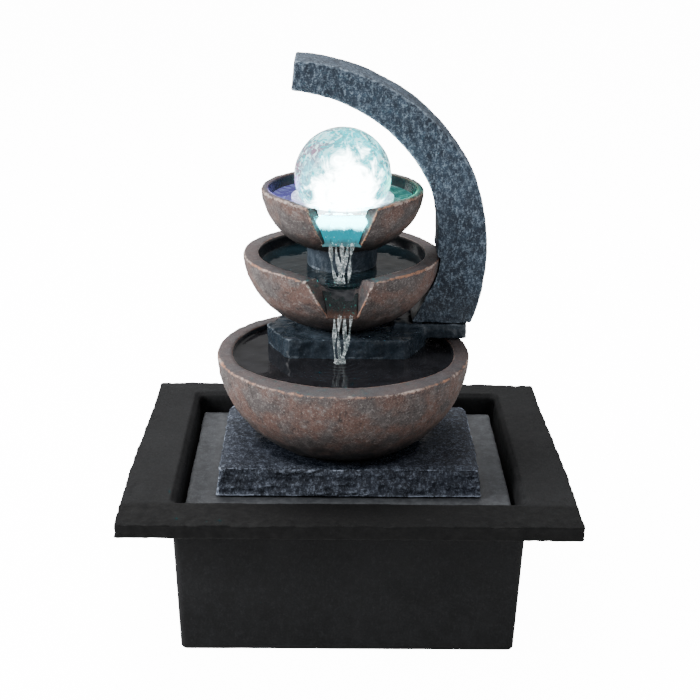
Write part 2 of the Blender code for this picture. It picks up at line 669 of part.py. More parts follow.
def arc(centre_x, centre_z, radius, first, last, count):
    steps = [math.radians(first + (last - first) * i / count) for i in range(count + 1)]
    return [(centre_x + radius * math.cos(a), centre_z + radius * math.sin(a)) for a in steps]


def make_arch():
    """A crescent: two arcs outside and two inside, drawn from the front and given its thickness."""
    foot = SADDLE_TOP + GAP
    out_top, out_low = [(x, BALL_Z - under, r) for x, under, r in ARCH_OUTER]
    in_top, in_low = [(x, BALL_Z - under, r) for x, under, r in ARCH_INNER]
    out_end = math.degrees(math.asin((foot - out_low[1]) / out_low[2]))
    in_end = math.degrees(math.asin((foot - in_low[1]) / in_low[2]))
    outline = arc(*out_top, ARCH_TIP_OUTER, ARCH_HANDOVER_OUTER[0], 14)
    outline += arc(*out_low, ARCH_HANDOVER_OUTER[1], out_end, 8)[1:]
    outline += arc(*in_low, in_end, ARCH_HANDOVER_INNER[1], 8)
    outline += arc(*in_top, ARCH_HANDOVER_INNER[0], ARCH_TIP_INNER, 14)[1:]
    arch = plate("crescent_arch", outline, ARCH_FRONT, ARCH_FRONT + ARCH_THICKNESS, along="Y")
    bevel(arch, 0.0008, 1)
    tenon = tenon_box("tenon")
    join(arch, tenon)
    middle_room = [(r, MIDDLE_LIP - d) for r, d in outer_curve(MIDDLE, grow=GAP)]
    middle_room = [(0.0, MIDDLE_LIP + 0.0006), (middle_room[0][0], MIDDLE_LIP + 0.0006)] + middle_room
    middle_room.append((0.0, middle_room[-1][1]))
    carve(arch, turned("bowl_bite", middle_room, (STACK_X, STACK_Y, 0.0), BOWL_STEPS, closed=False))
    return finish(arch, SLATE_BLUE)


def make_upper_pedestal():
    top = UPPER_FOOT - GAP
    foot = MIDDLE_FOOT + MIDDLE["floor"] + PEDESTAL_LIFT
    foot_radius = inside_radius(MIDDLE, MIDDLE_LIP - foot) - PEDESTAL_ROOM
    neck = foot + PEDESTAL_CHAMFER
    profile = [(0.0, top), (PEDESTAL_RADIUS, top), (PEDESTAL_RADIUS - PEDESTAL_TAPER, neck),
               (foot_radius, foot), (0.0, foot)]
    pedestal = turned("upper_pedestal", profile, (STACK_X, STACK_Y, 0.0), 28, closed=False)
    carve(pedestal, rod("light_well", LIGHT_RADIUS + GAP, (STACK_X, STACK_Y, LIGHT_FOOT - GAP),
                        (STACK_X, STACK_Y, top + PAST), 24))
    bore(pedestal, foot, top)
    return finish(pedestal, ROCK)


# ---- ball, seat and light -------------------------------------------------------------------
def make_ball():
    shape = bmesh.new()
    bmesh.ops.create_uvsphere(shape, u_segments=28, v_segments=16, radius=BALL_RADIUS)
    ball = from_bmesh("crystal_ball", shape)
    ball.location = (STACK_X, STACK_Y, BALL_Z)
    return finish(ball, CRYSTAL, smooth=True)


def make_seat():
    """A clear flared ring that follows the ball, and stands on the bowl's floor."""
    top = BALL_Z - SEAT_TOP_UNDER_BALL
    room = BALL_RADIUS + 1.5 * GAP
    foot = bowl_floor_at(SEAT_FOOT_OUT) + GAP * 1.5
    inner = []
    steps = 5
    lowest = BALL_Z - math.sqrt(room ** 2 - SEAT_FOOT_IN ** 2)
    for i in range(steps + 1):
        z = lowest + (top - lowest) * i / steps
        inner.append((math.sqrt(room ** 2 - (BALL_Z - z) ** 2), z))
    outer = [(SEAT_RADIUS, top), (SEAT_RADIUS - 0.0006, top - 0.004), (SEAT_RADIUS - 0.0026, top - 0.009),
             (SEAT_FOOT_OUT, foot)]
    profile = outer + [(SEAT_FOOT_IN, foot)] + inner
    seat = turned("ball_seat", profile, (STACK_X, STACK_Y, 0.0), 36)
    for angle in GATE_ANGLES:
        turn = Matrix.Rotation(math.radians(angle), 4, "Z")
        gate = box("seat_gate", (SEAT_FOOT_IN / 2, -SEAT_GATE_WIDTH / 2, foot - PAST),
                   (SEAT_RADIUS + 0.004, SEAT_GATE_WIDTH / 2, foot + SEAT_GATE_HEIGHT))
        gate.matrix_world = Matrix.Translation((STACK_X, STACK_Y, 0.0)) @ turn
        carve(seat, gate)
    return finish(seat, CLEAR)


def bowl_floor_at(radius):
    """Height of the upper bowl's inside at a radius."""
    lip = UPPER["lip"] - UPPER["rim_wall"]
    deep = UPPER["height"] - UPPER["floor"]
    return UPPER_LIP - deep * math.sqrt(1 - (radius / lip) ** 2)


def inside_radius(size, depth):
    """Radius of a bowl's inside at a depth below its lip."""
    lip = size["lip"] - size["rim_wall"]
    deep = size["height"] - size["floor"]
    return lip * math.sqrt(1 - (depth / deep) ** 2)


def make_light():
    centre = (STACK_X, STACK_Y, 0.0)
    chimney = RISER_RADIUS + 2 * GAP
    foot = LIGHT_FOOT
    housing = turned("led_housing", [
        (LIGHT_FLANGE, FLANGE_TOP), (LIGHT_FLANGE, FLANGE_FOOT), (LIGHT_RADIUS, FLANGE_FOOT),
        (LIGHT_RADIUS, foot), (chimney, foot), (chimney, FLANGE_TOP), (chimney + LIGHT_WALL, FLANGE_TOP),
        (chimney + LIGHT_WALL, foot + HOUSING_FLOOR), (LIGHT_RADIUS - LIGHT_WALL, foot + HOUSING_FLOOR),
        (LIGHT_RADIUS - LIGHT_WALL, FLANGE_TOP),
    ], centre, 24)
    carve(housing, rod("lead_entry", LEAD_RADIUS + GAP, (LEAD_X, STACK_Y, foot - PAST),
                       (LEAD_X, STACK_Y, foot + PAST), 12))
    finish(housing, BLACK_PLASTIC)
    gasket = turned("led_gasket", [
        (LIGHT_FLANGE, GASKET_TOP), (LIGHT_FLANGE, GASKET_FOOT), (LIGHT_RADIUS + 0.0008, GASKET_FOOT),
        (LIGHT_RADIUS + 0.0008, GASKET_TOP),
    ], centre, 24)
    finish(gasket, RUBBER)
    board_foot = foot + BOARD_LIFT
    board_in, board_out = chimney + LIGHT_WALL + GAP, LIGHT_RADIUS - LIGHT_WALL - GAP
    board = turned("led_board", [
        (board_out, board_foot + BOARD_THICKNESS), (board_out, board_foot), (board_in, board_foot),
        (board_in, board_foot + BOARD_THICKNESS),
    ], centre, 24)
    finish(board, BOARD)
    ring = (board_in + board_out) / 2
    dome_foot = board_foot + BOARD_THICKNESS + GAP
    for number in range(LED_COUNT):
        angle = math.radians(45 + 360 * number / LED_COUNT)
        place = (STACK_X + ring * math.cos(angle), STACK_Y + ring * math.sin(angle), dome_foot)
        cap = [(LED_RADIUS * math.sin(math.radians(a)), LED_SKIRT + LED_RADIUS * math.cos(math.radians(a)))
               for a in (0, 30, 60, 90)]
        dome = turned(f"led_{number + 1}", cap + [(LED_RADIUS, 0.0), (0.0, 0.0)], place, 12, closed=False)
        finish(dome, LED)
    lens = turned("led_lens", [
        (LIGHT_FLANGE - 0.0005, LENS_TOP), (LIGHT_FLANGE, LENS_FOOT),
        (chimney, LENS_FOOT), (chimney, LENS_TOP),
    ], centre, 24)
    finish(lens, CLEAR)


def make_riser():
    top = LENS_TOP
    riser = turned("riser_tube", [
        (RISER_RADIUS, top), (RISER_RADIUS, RISER_FOOT), (RISER_BORE, RISER_FOOT), (RISER_BORE, top),
    ], (STACK_X, STACK_Y, 0.0), 20)
    return finish(riser, CLEAR)


# ---- pump -----------------------------------------------------------------------------------
def y_turned(name, profile, steps, look):
    """Turned about the rotor's axis; profile heights are distances behind the stack's y."""
    obj = turned(name, profile, (STACK_X, STACK_Y, ROTOR_Z), steps, facing=(0, 1, 0))
    return finish(obj, look)


def pump_box(name, y_low, y_high, half_x, half_z):
    low = (STACK_X - half_x, y_low, ROTOR_Z - half_z)
    high = (STACK_X + half_x, y_high, ROTOR_Z + half_z)
    return box(name, low, high)


def make_pump_case():
    half_x, half_z = PUMP_WIDTH / 2, PUMP_TALL / 2
    case = pump_box("pump_case", CASE_FRONT, CASE_BACK, half_x, half_z)
    bevel(case, 0.0020, 2)
    well_end = CASE_FRONT + MAGNET_LENGTH + 0.0026
    carve(case, rod("rotor_well", MAGNET_RADIUS + 0.0007, (STACK_X, CASE_FRONT - PAST, ROTOR_Z),
                    (STACK_X, well_end, ROTOR_Z), 24))
    yoke_front = well_end + 0.0015
    carve(case, pump_box("coil_room", yoke_front, CASE_BACK + PAST, half_x - CASE_SIDE_WALL,
                         half_z - CASE_END_WALL))
    leg_x = MAGNET_RADIUS + 0.0022 + CORE_LEG / 2
    for side in (-1, 1):
        x = STACK_X + side * leg_x
        leg_low = (x - CORE_LEG / 2 - GAP, CASE_FRONT + 0.0020, ROTOR_Z - CORE_HALF_HEIGHT - GAP)
        leg_high = (x + CORE_LEG / 2 + GAP, yoke_front + 0.001, ROTOR_Z + CORE_HALF_HEIGHT + GAP)
        carve(case, box("leg_room", leg_low, leg_high))
    finish(case, BLACK_PLASTIC)
    core_low = yoke_front + 0.0022
    core_high = core_low + CORE_BAR
    core = pump_box("stator_core", core_low, core_high, leg_x + CORE_LEG / 2, CORE_HALF_HEIGHT)
    for side in (-1, 1):
        x = STACK_X + side * leg_x
        join(core, box("leg", (x - CORE_LEG / 2, CASE_FRONT + 0.0025, ROTOR_Z - CORE_HALF_HEIGHT),
                       (x + CORE_LEG / 2, core_low + 0.001, ROTOR_Z + CORE_HALF_HEIGHT)))
    finish(core, STEEL)
    coil_half = leg_x - CORE_LEG / 2 - 0.0010
    coil = pump_box("stator_coil", core_low - COIL_OVER_BAR, core_high + COIL_OVER_BAR, coil_half,
                    COIL_HALF_HEIGHT)
    bevel(coil, 0.0010, 1)
    carve(coil, pump_box("core_hole", core_low - GAP, core_high + GAP, coil_half + PAST,
                         CORE_HALF_HEIGHT + GAP))
    finish(coil, COPPER)
    cap = pump_box("potting_cap", core_high + COIL_OVER_BAR + GAP, CASE_BACK + 0.0002,
                   half_x - CASE_SIDE_WALL - GAP, half_z - CASE_END_WALL - GAP)
    finish(cap, EPOXY)
    return well_end


def make_volute():
    reach_back = VOLUTE_BACK - STACK_Y
    reach_front = VOLUTE_FRONT - STACK_Y
    volute = y_turned("pump_volute", [
        (VOLUTE_RADIUS, reach_back), (VOLUTE_RADIUS, reach_front), (EYE_RADIUS, reach_front),
        (EYE_RADIUS, reach_front + VOLUTE_WALL), (VOLUTE_RADIUS - VOLUTE_WALL, reach_front + VOLUTE_WALL),
        (VOLUTE_RADIUS - VOLUTE_WALL, reach_back),
    ], 32, BLACK_PLASTIC)
    join(volute, rod("nipple", NIPPLE_RADIUS, (STACK_X, STACK_Y, ROTOR_Z + VOLUTE_RADIUS - 0.0014),
                     (STACK_X, STACK_Y, NIPPLE_TOP), 20))
    carve(volute, rod("nipple_bore", NIPPLE_BORE, (STACK_X, STACK_Y, ROTOR_Z + VOLUTE_RADIUS - 0.0040),
                      (STACK_X, STACK_Y, NIPPLE_TOP + PAST), 16))
    join(volute, box("spider", (STACK_X - EYE_RADIUS - 0.0008, VOLUTE_FRONT + 0.0002, ROTOR_Z - 0.0009),
                     (STACK_X + EYE_RADIUS + 0.0008, VOLUTE_FRONT + 0.0016, ROTOR_Z + 0.0009)))
    join(volute, rod("boss", BOSS_RADIUS, (STACK_X, VOLUTE_FRONT - 0.0012, ROTOR_Z),
                     (STACK_X, VOLUTE_FRONT + 0.0022, ROTOR_Z), 16))
    carve(volute, rod("bush_hole", BUSH_RADIUS + GAP, (STACK_X, VOLUTE_FRONT - 0.0002, ROTOR_Z),
                      (STACK_X, VOLUTE_FRONT + 0.0032, ROTOR_Z), 16))
    return volute


def make_rotor(well_end):
    vane_front = VOLUTE_FRONT + VOLUTE_WALL + 0.0008
    disc_back = VOLUTE_BACK - 0.0006
    hub_front = VOLUTE_FRONT + 0.0022 + GAP
    hub_back = CASE_FRONT + MAGNET_INSET + MAGNET_LENGTH + GAP
    rotor = rod("impeller", HUB_RADIUS, (STACK_X, hub_front, ROTOR_Z), (STACK_X, hub_back, ROTOR_Z), 20)
    join(rotor, rod("disc", VANE_RADIUS, (STACK_X, disc_back - 0.0011, ROTOR_Z),
                    (STACK_X, disc_back, ROTOR_Z), 32))
    for number in range(VANE_COUNT):
        turn = Matrix.Rotation(2 * math.pi * number / VANE_COUNT, 4, "Y")
        vane = box("vane", (HUB_RADIUS - 0.0008, vane_front, -0.0005),
                   (VANE_RADIUS - 0.0002, disc_back - 0.0004, 0.0005))
        vane.matrix_world = Matrix.Translation((STACK_X, 0.0, ROTOR_Z)) @ turn
        join(rotor, vane)
    carve(rotor, rod("shaft_hole", SHAFT_RADIUS + GAP, (STACK_X, hub_front - PAST, ROTOR_Z),
                     (STACK_X, hub_back + PAST, ROTOR_Z), 16))
    finish(rotor, WHITE_PLASTIC)
    magnet_front = CASE_FRONT + MAGNET_INSET
    y_turned("rotor_magnet", [
        (MAGNET_RADIUS, magnet_front + MAGNET_LENGTH - STACK_Y), (MAGNET_RADIUS, magnet_front - STACK_Y),
        (HUB_RADIUS + GAP, magnet_front - STACK_Y),
        (HUB_RADIUS + GAP, magnet_front + MAGNET_LENGTH - STACK_Y),
    ], 24, FERRITE)
    shaft_front = VOLUTE_FRONT + 0.0002
    bush_back = well_end - GAP
    bush_front = hub_back + GAP
    shaft_ends = (STACK_X, shaft_front, ROTOR_Z), (STACK_X, bush_back, ROTOR_Z)
    shaft = rod("rotor_shaft", SHAFT_RADIUS, *shaft_ends, 16)
    finish(shaft, CERAMIC)
    for name, radius, low, high in (
        ("shaft_bush_front", BUSH_RADIUS, VOLUTE_FRONT + 0.0002, VOLUTE_FRONT + 0.0021),
        ("shaft_bush_rear", 0.0032, bush_front, bush_back),
    ):
        y_turned(name, [
            (radius, high - STACK_Y), (radius, low - STACK_Y), (SHAFT_RADIUS + GAP, low - STACK_Y),
            (SHAFT_RADIUS + GAP, high - STACK_Y),
        ], 16, RUBBER)


def make_strainer():
    """A snap-on cover over the volute, slotted in front, open behind and notched round the nipple."""
    back = CASE_FRONT - GAP
    front = back - STRAINER_DEPTH
    half_x, half_z = PUMP_WIDTH / 2, PUMP_TALL / 2
    cover = pump_box("pump_strainer", front, back, half_x, half_z)
    bevel(cover, 0.0020, 1)
    carve(cover, pump_box("cover_room", front + STRAINER_WALL, back + PAST, half_x - STRAINER_WALL,
                          half_z - STRAINER_WALL))
    room = NIPPLE_RADIUS + 2 * GAP
    carve(cover, box("nipple_slot", (STACK_X - room, STACK_Y - room, PUMP_TOP - 2 * PAST),
                     (STACK_X + room, back + PAST, PUMP_TOP + PAST)))
    for number in (-3, -2, 2, 3):
        x = STACK_X + number * SLOT_PITCH
        for side in (-1, 1):
            z = ROTOR_Z + side * SLOT_OFFSET
            slot_low = (x - SLOT_HALF_WIDTH, front - PAST, z - SLOT_HALF_LENGTH)
            slot_high = (x + SLOT_HALF_WIDTH, front + 2 * PAST, z + SLOT_HALF_LENGTH)
            carve(cover, box("slot", slot_low, slot_high))
    for angle in PORT_ANGLES:
        turn = math.radians(angle)
        place = (STACK_X + PORT_CIRCLE * math.cos(turn), ROTOR_Z + PORT_CIRCLE * math.sin(turn))
        carve(cover, rod("port", PORT_RADIUS, (place[0], front - PAST, place[1]),
                         (place[0], front + 0.004, place[1]), 16))
    carve(cover, rod("pivot_hole", PIVOT_RADIUS + GAP, (STACK_X, front - PAST, ROTOR_Z),
                     (STACK_X, front + 0.004, ROTOR_Z), 16))
    finish(cover, BLACK_PLASTIC)
    sponge = pump_box("filter_sponge", front + STRAINER_WALL + 0.0030, VOLUTE_FRONT - 0.0012 - GAP,
                      half_x - STRAINER_WALL - GAP, half_z - STRAINER_WALL - GAP)
    bevel(sponge, 0.0010, 1)
    finish(sponge, SPONGE)
    disc_back = front - GAP
    regulator = rod("flow_regulator", REGULATOR_RADIUS, (STACK_X, disc_back - 0.0014, ROTOR_Z),
                    (STACK_X, disc_back, ROTOR_Z), 32)
    for angle in PORT_ANGLES:
        turn = math.radians(angle)
        place = (STACK_X + PORT_CIRCLE * math.cos(turn), ROTOR_Z + PORT_CIRCLE * math.sin(turn))
        carve(regulator, rod("window", PORT_RADIUS, (place[0], disc_back - 0.004, place[1]),
                             (place[0], disc_back + PAST, place[1]), 16))
    join(regulator, rod("pivot", PIVOT_RADIUS, (STACK_X, disc_back - 0.0008, ROTOR_Z),
                        (STACK_X, front + STRAINER_WALL + 0.0012, ROTOR_Z), 16))
    join(regulator, rod("pivot_head", 0.0024, (STACK_X, front + STRAINER_WALL + GAP, ROTOR_Z),
                        (STACK_X, front + STRAINER_WALL + 0.0016, ROTOR_Z), 16))
    join(regulator, box("finger_bar", (STACK_X - 0.0008, disc_back - 0.0040, ROTOR_Z - 0.0030),
                        (STACK_X + 0.0008, disc_back - 0.0010, ROTOR_Z + 0.0072)))
    finish(regulator, BLACK_PLASTIC)


def make_suction_cups():
    number = 0
    for x in (-1, 1):
        for y in (CASE_FRONT + 0.0070, CASE_BACK - 0.0070):
            number += 1
            place = (STACK_X + x * (PUMP_WIDTH / 2 - 0.0065), y, FLOOR_TOP + GAP)
            profile = [
                (0.0, CUP_HEIGHT), (0.0028, CUP_HEIGHT), (0.0028, CUP_HEIGHT - 0.0016), (CUP_RADIUS, 0.0006),
                (CUP_RADIUS, 0.0), (CUP_RADIUS - 0.0008, 0.0), (0.0022, 0.0016), (0.0, 0.0018),
            ]
            finish(turned(f"suction_cup_{number}", profile, place, 14, closed=False), RUBBER)


# ---- inlet, connectors and leads ------------------------------------------------------------
def make_inlet():
    wall_out = TUB_BACK + GAP
    gasket = turned("inlet_gasket", [
        (INLET_FLANGE, WASHER), (INLET_FLANGE, 0.0), (INLET_BARREL + GAP, 0.0), (INLET_BARREL + GAP, WASHER),
    ], (INLET_X, wall_out, INLET_Z), 24, facing=(0, 1, 0))
    finish(gasket, RUBBER)
    flange = wall_out + WASHER + GAP
    inner = INNER_BACK - INLET_REACH
    length = flange - inner
    inlet = turned("dc_inlet", [
        (INLET_FLANGE, length + INLET_LIP), (INLET_FLANGE, length),
        (INLET_BARREL, length), (INLET_BARREL, 0.0),
        (0.0, 0.0), (0.0, 0.0050), (INLET_BORE, 0.0050), (INLET_BORE, length + INLET_LIP),
    ], (INLET_X, inner, INLET_Z), 24, closed=True, facing=(0, 1, 0))
    pin_ends = (INLET_X, inner + 0.0040, INLET_Z), (INLET_X, flange + 0.0005, INLET_Z)
    join(inlet, rod("centre_pin", INLET_PIN, *pin_ends, 12))
    finish(inlet, BLACK_PLASTIC)
    nut_back = INNER_BACK - TUB_TAPER - GAP
    nut_ends = (INLET_X, nut_back - NUT_THICKNESS, INLET_Z), (INLET_X, nut_back, INLET_Z)
    nut = rod("inlet_nut", INLET_FLANGE, *nut_ends, 6)
    carve(nut, rod("nut_hole", INLET_BARREL + GAP, (INLET_X, nut_back - 0.006, INLET_Z),
                   (INLET_X, nut_back + PAST, INLET_Z), 24))
    finish(nut, STEEL)
    return inner


def make_connectors():
    bracket_foot = PUMP_TOP + 0.0008
    bracket_top = bracket_foot + BRACKET_THICKNESS
    socket_foot = bracket_foot - 0.0002
    socket_top = socket_foot + SOCKET_LENGTH
    socket = rod("led_socket", PLUG_RADIUS, (LEAD_X, STACK_Y, socket_foot), (LEAD_X, STACK_Y, socket_top), 20)
    carve(socket, rod("pin_hole", PIN_RADIUS + GAP, (LEAD_X, STACK_Y, socket_top - PIN_LENGTH - GAP),
                      (LEAD_X, STACK_Y, socket_top + PAST), 12))
    finish(socket, BLACK_PLASTIC)
    ear = PLUG_RADIUS + BRACKET_THICKNESS
    bracket = box("connector_bracket", (STACK_X - NIPPLE_RADIUS - 0.0025, STACK_Y - ear, bracket_foot),
                  (LEAD_X + ear, STACK_Y + ear, bracket_top))
    bevel(bracket, 0.0005, 1)
    carve(bracket, rod("nipple_room", NIPPLE_RADIUS + GAP, (STACK_X, STACK_Y, bracket_foot - PAST),
                       (STACK_X, STACK_Y, bracket_top + PAST), 20))
    carve(bracket, rod("socket_room", PLUG_RADIUS + GAP, (LEAD_X, STACK_Y, bracket_foot - PAST),
                       (LEAD_X, STACK_Y, bracket_top + PAST), 20))
    finish(bracket, BLACK_PLASTIC)
    plug_foot = socket_top + GAP
    plug_top = plug_foot + PLUG_LENGTH
    plug = turned("led_plug", [
        (0.0, plug_top), (PLUG_RADIUS * 0.6, plug_top),
        (PLUG_RADIUS, plug_top - 0.0030), (PLUG_RADIUS, plug_foot),
        (PIN_RADIUS, plug_foot), (PIN_RADIUS, plug_foot - PIN_LENGTH), (0.0, plug_foot - PIN_LENGTH),
    ], (LEAD_X, STACK_Y, 0.0), 20, closed=False)
    finish(plug, BLACK_PLASTIC)
    return socket_foot, socket_top, plug_top


def make_leads(inlet_end, socket_foot, socket_top, plug_top):
    lead_top = LIGHT_FOOT + BOARD_LIFT - GAP
    lead_path = [(LEAD_X, STACK_Y, plug_top + GAP), (LEAD_X, STACK_Y, lead_top)]
    wire("led_lead", lead_path, LEAD_RADIUS, 0.02, BLACK_PLASTIC)
    tail_z = (socket_foot + 0.0022 + socket_top) / 2 + 0.0010
    start = LEAD_X + PLUG_RADIUS + GAP + 0.0001
    end = inlet_end - GAP
    wire("led_tail", [
        (start, STACK_Y, tail_z), (start + 0.0050, STACK_Y + 0.0006, tail_z - 0.0004),
        (start + 0.0130, STACK_Y + 0.0070, tail_z - 0.0010),
        (INLET_X - LEAD_SPREAD - 0.0030, end - 0.0120, INLET_Z - 0.0030),
        (INLET_X - LEAD_SPREAD, end - 0.0050, INLET_Z), (INLET_X - LEAD_SPREAD, end, INLET_Z),
    ], PUMP_LEAD_RADIUS, 0.003, BLACK_PLASTIC)
    side = STACK_X + PUMP_WIDTH / 2 + GAP
    low = FLOOR_TOP + 0.0032
    pump_y = CASE_FRONT + CASE_DEPTH * 0.55
    wire("pump_lead", [
        (INLET_X + LEAD_SPREAD, end, INLET_Z), (INLET_X + LEAD_SPREAD, end - 0.0060, INLET_Z - 0.0006),
        (INLET_X + 0.0028, end - 0.0110, INLET_Z - 0.0070),
        (INLET_X + 0.0036, end - 0.0130, INLET_Z - 0.0200),
        (INLET_X + 0.0034, end - 0.0130, FLOOR_TOP + 0.0150), (INLET_X + 0.0004, end - 0.0125, low + 0.0022),
        (INLET_X - 0.0050, end - 0.0120, low), (INLET_X - 0.0120, end - 0.0105, low),
        (side + 0.0060, pump_y + 0.0006, low + 0.0024), (side + 0.0020, pump_y, PUMP_FOOT + 0.0050),
        (side, pump_y, PUMP_FOOT + 0.0050),
    ], PUMP_LEAD_RADIUS, 0.003, BLACK_PLASTIC)
    clip_x = INLET_X - 0.0086
    clip_y = end - 0.0114
    clip_low = (clip_x - 0.0030, clip_y - 0.0050, FLOOR_TOP + GAP)
    clip_high = (clip_x + 0.0030, clip_y + 0.0050, low + 0.0030)
    clip = box("lead_clip", clip_low, clip_high)
    bevel(clip, 0.0008, 1)
    room_low = (clip_x - 0.006, clip_y - 0.0026, low - 0.0019)
    room_high = (clip_x + 0.006, clip_y + 0.0026, low + 0.0017)
    carve(clip, box("lead_room", room_low, room_high))
    finish(clip, WHITE_PLASTIC)


# ---- assembly -------------------------------------------------------------------------------
make_basin()
make_pads()
make_tray()
make_plinth()
make_bowls()
make_rock()
make_arch()
make_upper_pedestal()
make_ball()
make_seat()
make_light()
make_riser()
rotor_well_end = make_pump_case()
make_volute()
make_rotor(rotor_well_end)
make_strainer()
make_suction_cups()
inlet_inner_end = make_inlet()
connector_levels = make_connectors()
make_leads(inlet_inner_end, *connector_levels)
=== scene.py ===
# %% [markdown]
# # A tabletop water fountain
# A slate-look tub carries a grey tray and a rough plinth. Three cast bowls stand above one another
# on a dark rock, water spills from notch to notch, and a lit crystal ball turns in the top bowl
# under a slate crescent. The packed model gives every place; this file gives the surfaces.

# %% Load the frame
import math

import bmesh
import bpy
import numpy as np
from mathutils import Matrix, Vector, noise


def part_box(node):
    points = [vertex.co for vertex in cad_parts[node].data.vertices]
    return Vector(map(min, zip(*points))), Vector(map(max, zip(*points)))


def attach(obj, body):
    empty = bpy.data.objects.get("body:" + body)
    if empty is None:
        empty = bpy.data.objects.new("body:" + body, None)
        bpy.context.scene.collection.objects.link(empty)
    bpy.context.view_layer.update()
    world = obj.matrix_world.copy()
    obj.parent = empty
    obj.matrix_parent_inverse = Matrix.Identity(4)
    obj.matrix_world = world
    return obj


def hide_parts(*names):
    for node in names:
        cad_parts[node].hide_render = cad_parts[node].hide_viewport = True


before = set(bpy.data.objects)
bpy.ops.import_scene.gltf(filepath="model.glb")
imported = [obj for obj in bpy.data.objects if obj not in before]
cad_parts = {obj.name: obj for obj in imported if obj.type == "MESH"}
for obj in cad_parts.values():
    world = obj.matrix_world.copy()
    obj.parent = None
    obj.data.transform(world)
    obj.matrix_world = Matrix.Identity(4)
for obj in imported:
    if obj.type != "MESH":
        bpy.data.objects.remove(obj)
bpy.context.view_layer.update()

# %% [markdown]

MM = 0.001
PER_METRE = 1000            # millimetres in a metre, for sizes that are given in millimetres

# %% [markdown]
# ## Where things are
# A turned piece tells its own size: half its width is its radius, and its highest corner in y less
# that radius is its centre, even where a notch has eaten the front.


# %% Read the places of the turned pieces
def round_place(node):
    """A turned piece's axis, radius, foot and top, in metres."""
    low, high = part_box(node)
    radius = (high.x - low.x) / 2
    return {"x": (low.x + high.x) / 2, "y": high.y - radius, "radius": radius,
            "foot": low.z, "lip": high.z, "height": high.z - low.z}


rim_low, rim_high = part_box("basin")
RIM_TOP, TUB_FOOT = rim_high.z, rim_low.z
ball_place = round_place("crystal_ball")
BALL_RADIUS = ball_place["radius"]
BALL_CENTRE = Vector((ball_place["x"], ball_place["y"], (ball_place["foot"] + ball_place["lip"]) / 2))
print("ball radius, mm:", round(BALL_RADIUS / MM, 1), "centre:", [round(v / MM, 1) for v in BALL_CENTRE])

# %% [markdown]
# ## Shader maths as plain expressions
# A finish is a graph of nodes, and wiring it by hand takes three lines for each sum. A `Value`
# wraps one output socket instead: adding or multiplying two of them adds a Math node, and the
# reflected forms make `1 - mask` work too.


# %% The Value class
class Value:
    def __init__(self, look, socket):
        self.look = look
        self.socket = socket

    def maths(self, operation, *others, clamp=False):
        return self.look.node("Math", {"operation": operation, "use_clamp": clamp},
                              dict(enumerate((self, *others))))

    def __add__(self, other):
        return self.maths("ADD", other)

    __radd__ = __add__

    def __mul__(self, other):
        return self.maths("MULTIPLY", other)

    __rmul__ = __mul__

    def __sub__(self, other):
        return self.maths("SUBTRACT", other)

    def __rsub__(self, other):
        return (self * -1.0) + other

    def __truediv__(self, other):
        return self.maths("DIVIDE", other)

    def __pow__(self, other):
        return self.maths("POWER", other)

    def between(self, low, high):
        """0 below low, 1 above high, and a smooth step between; low may be the higher one."""
        return self.look.node("MapRange", {"interpolation_type": "SMOOTHSTEP"},
                              {"Value": self, "From Min": low, "From Max": high})

    def clamped(self):
        return self.maths("ADD", 0.0, clamp=True)


print("a Value knows:", [name for name in vars(Value) if not name.startswith("__")])

# %% [markdown]
# A `Look` is one material, or the sky. Its `node` method makes any other node from its type, its
# settings and its inputs. The methods under it are what most finishes here ask for: noise of a
# size in millimetres, a number painted on the mesh, a mix of two colours, and a relief.


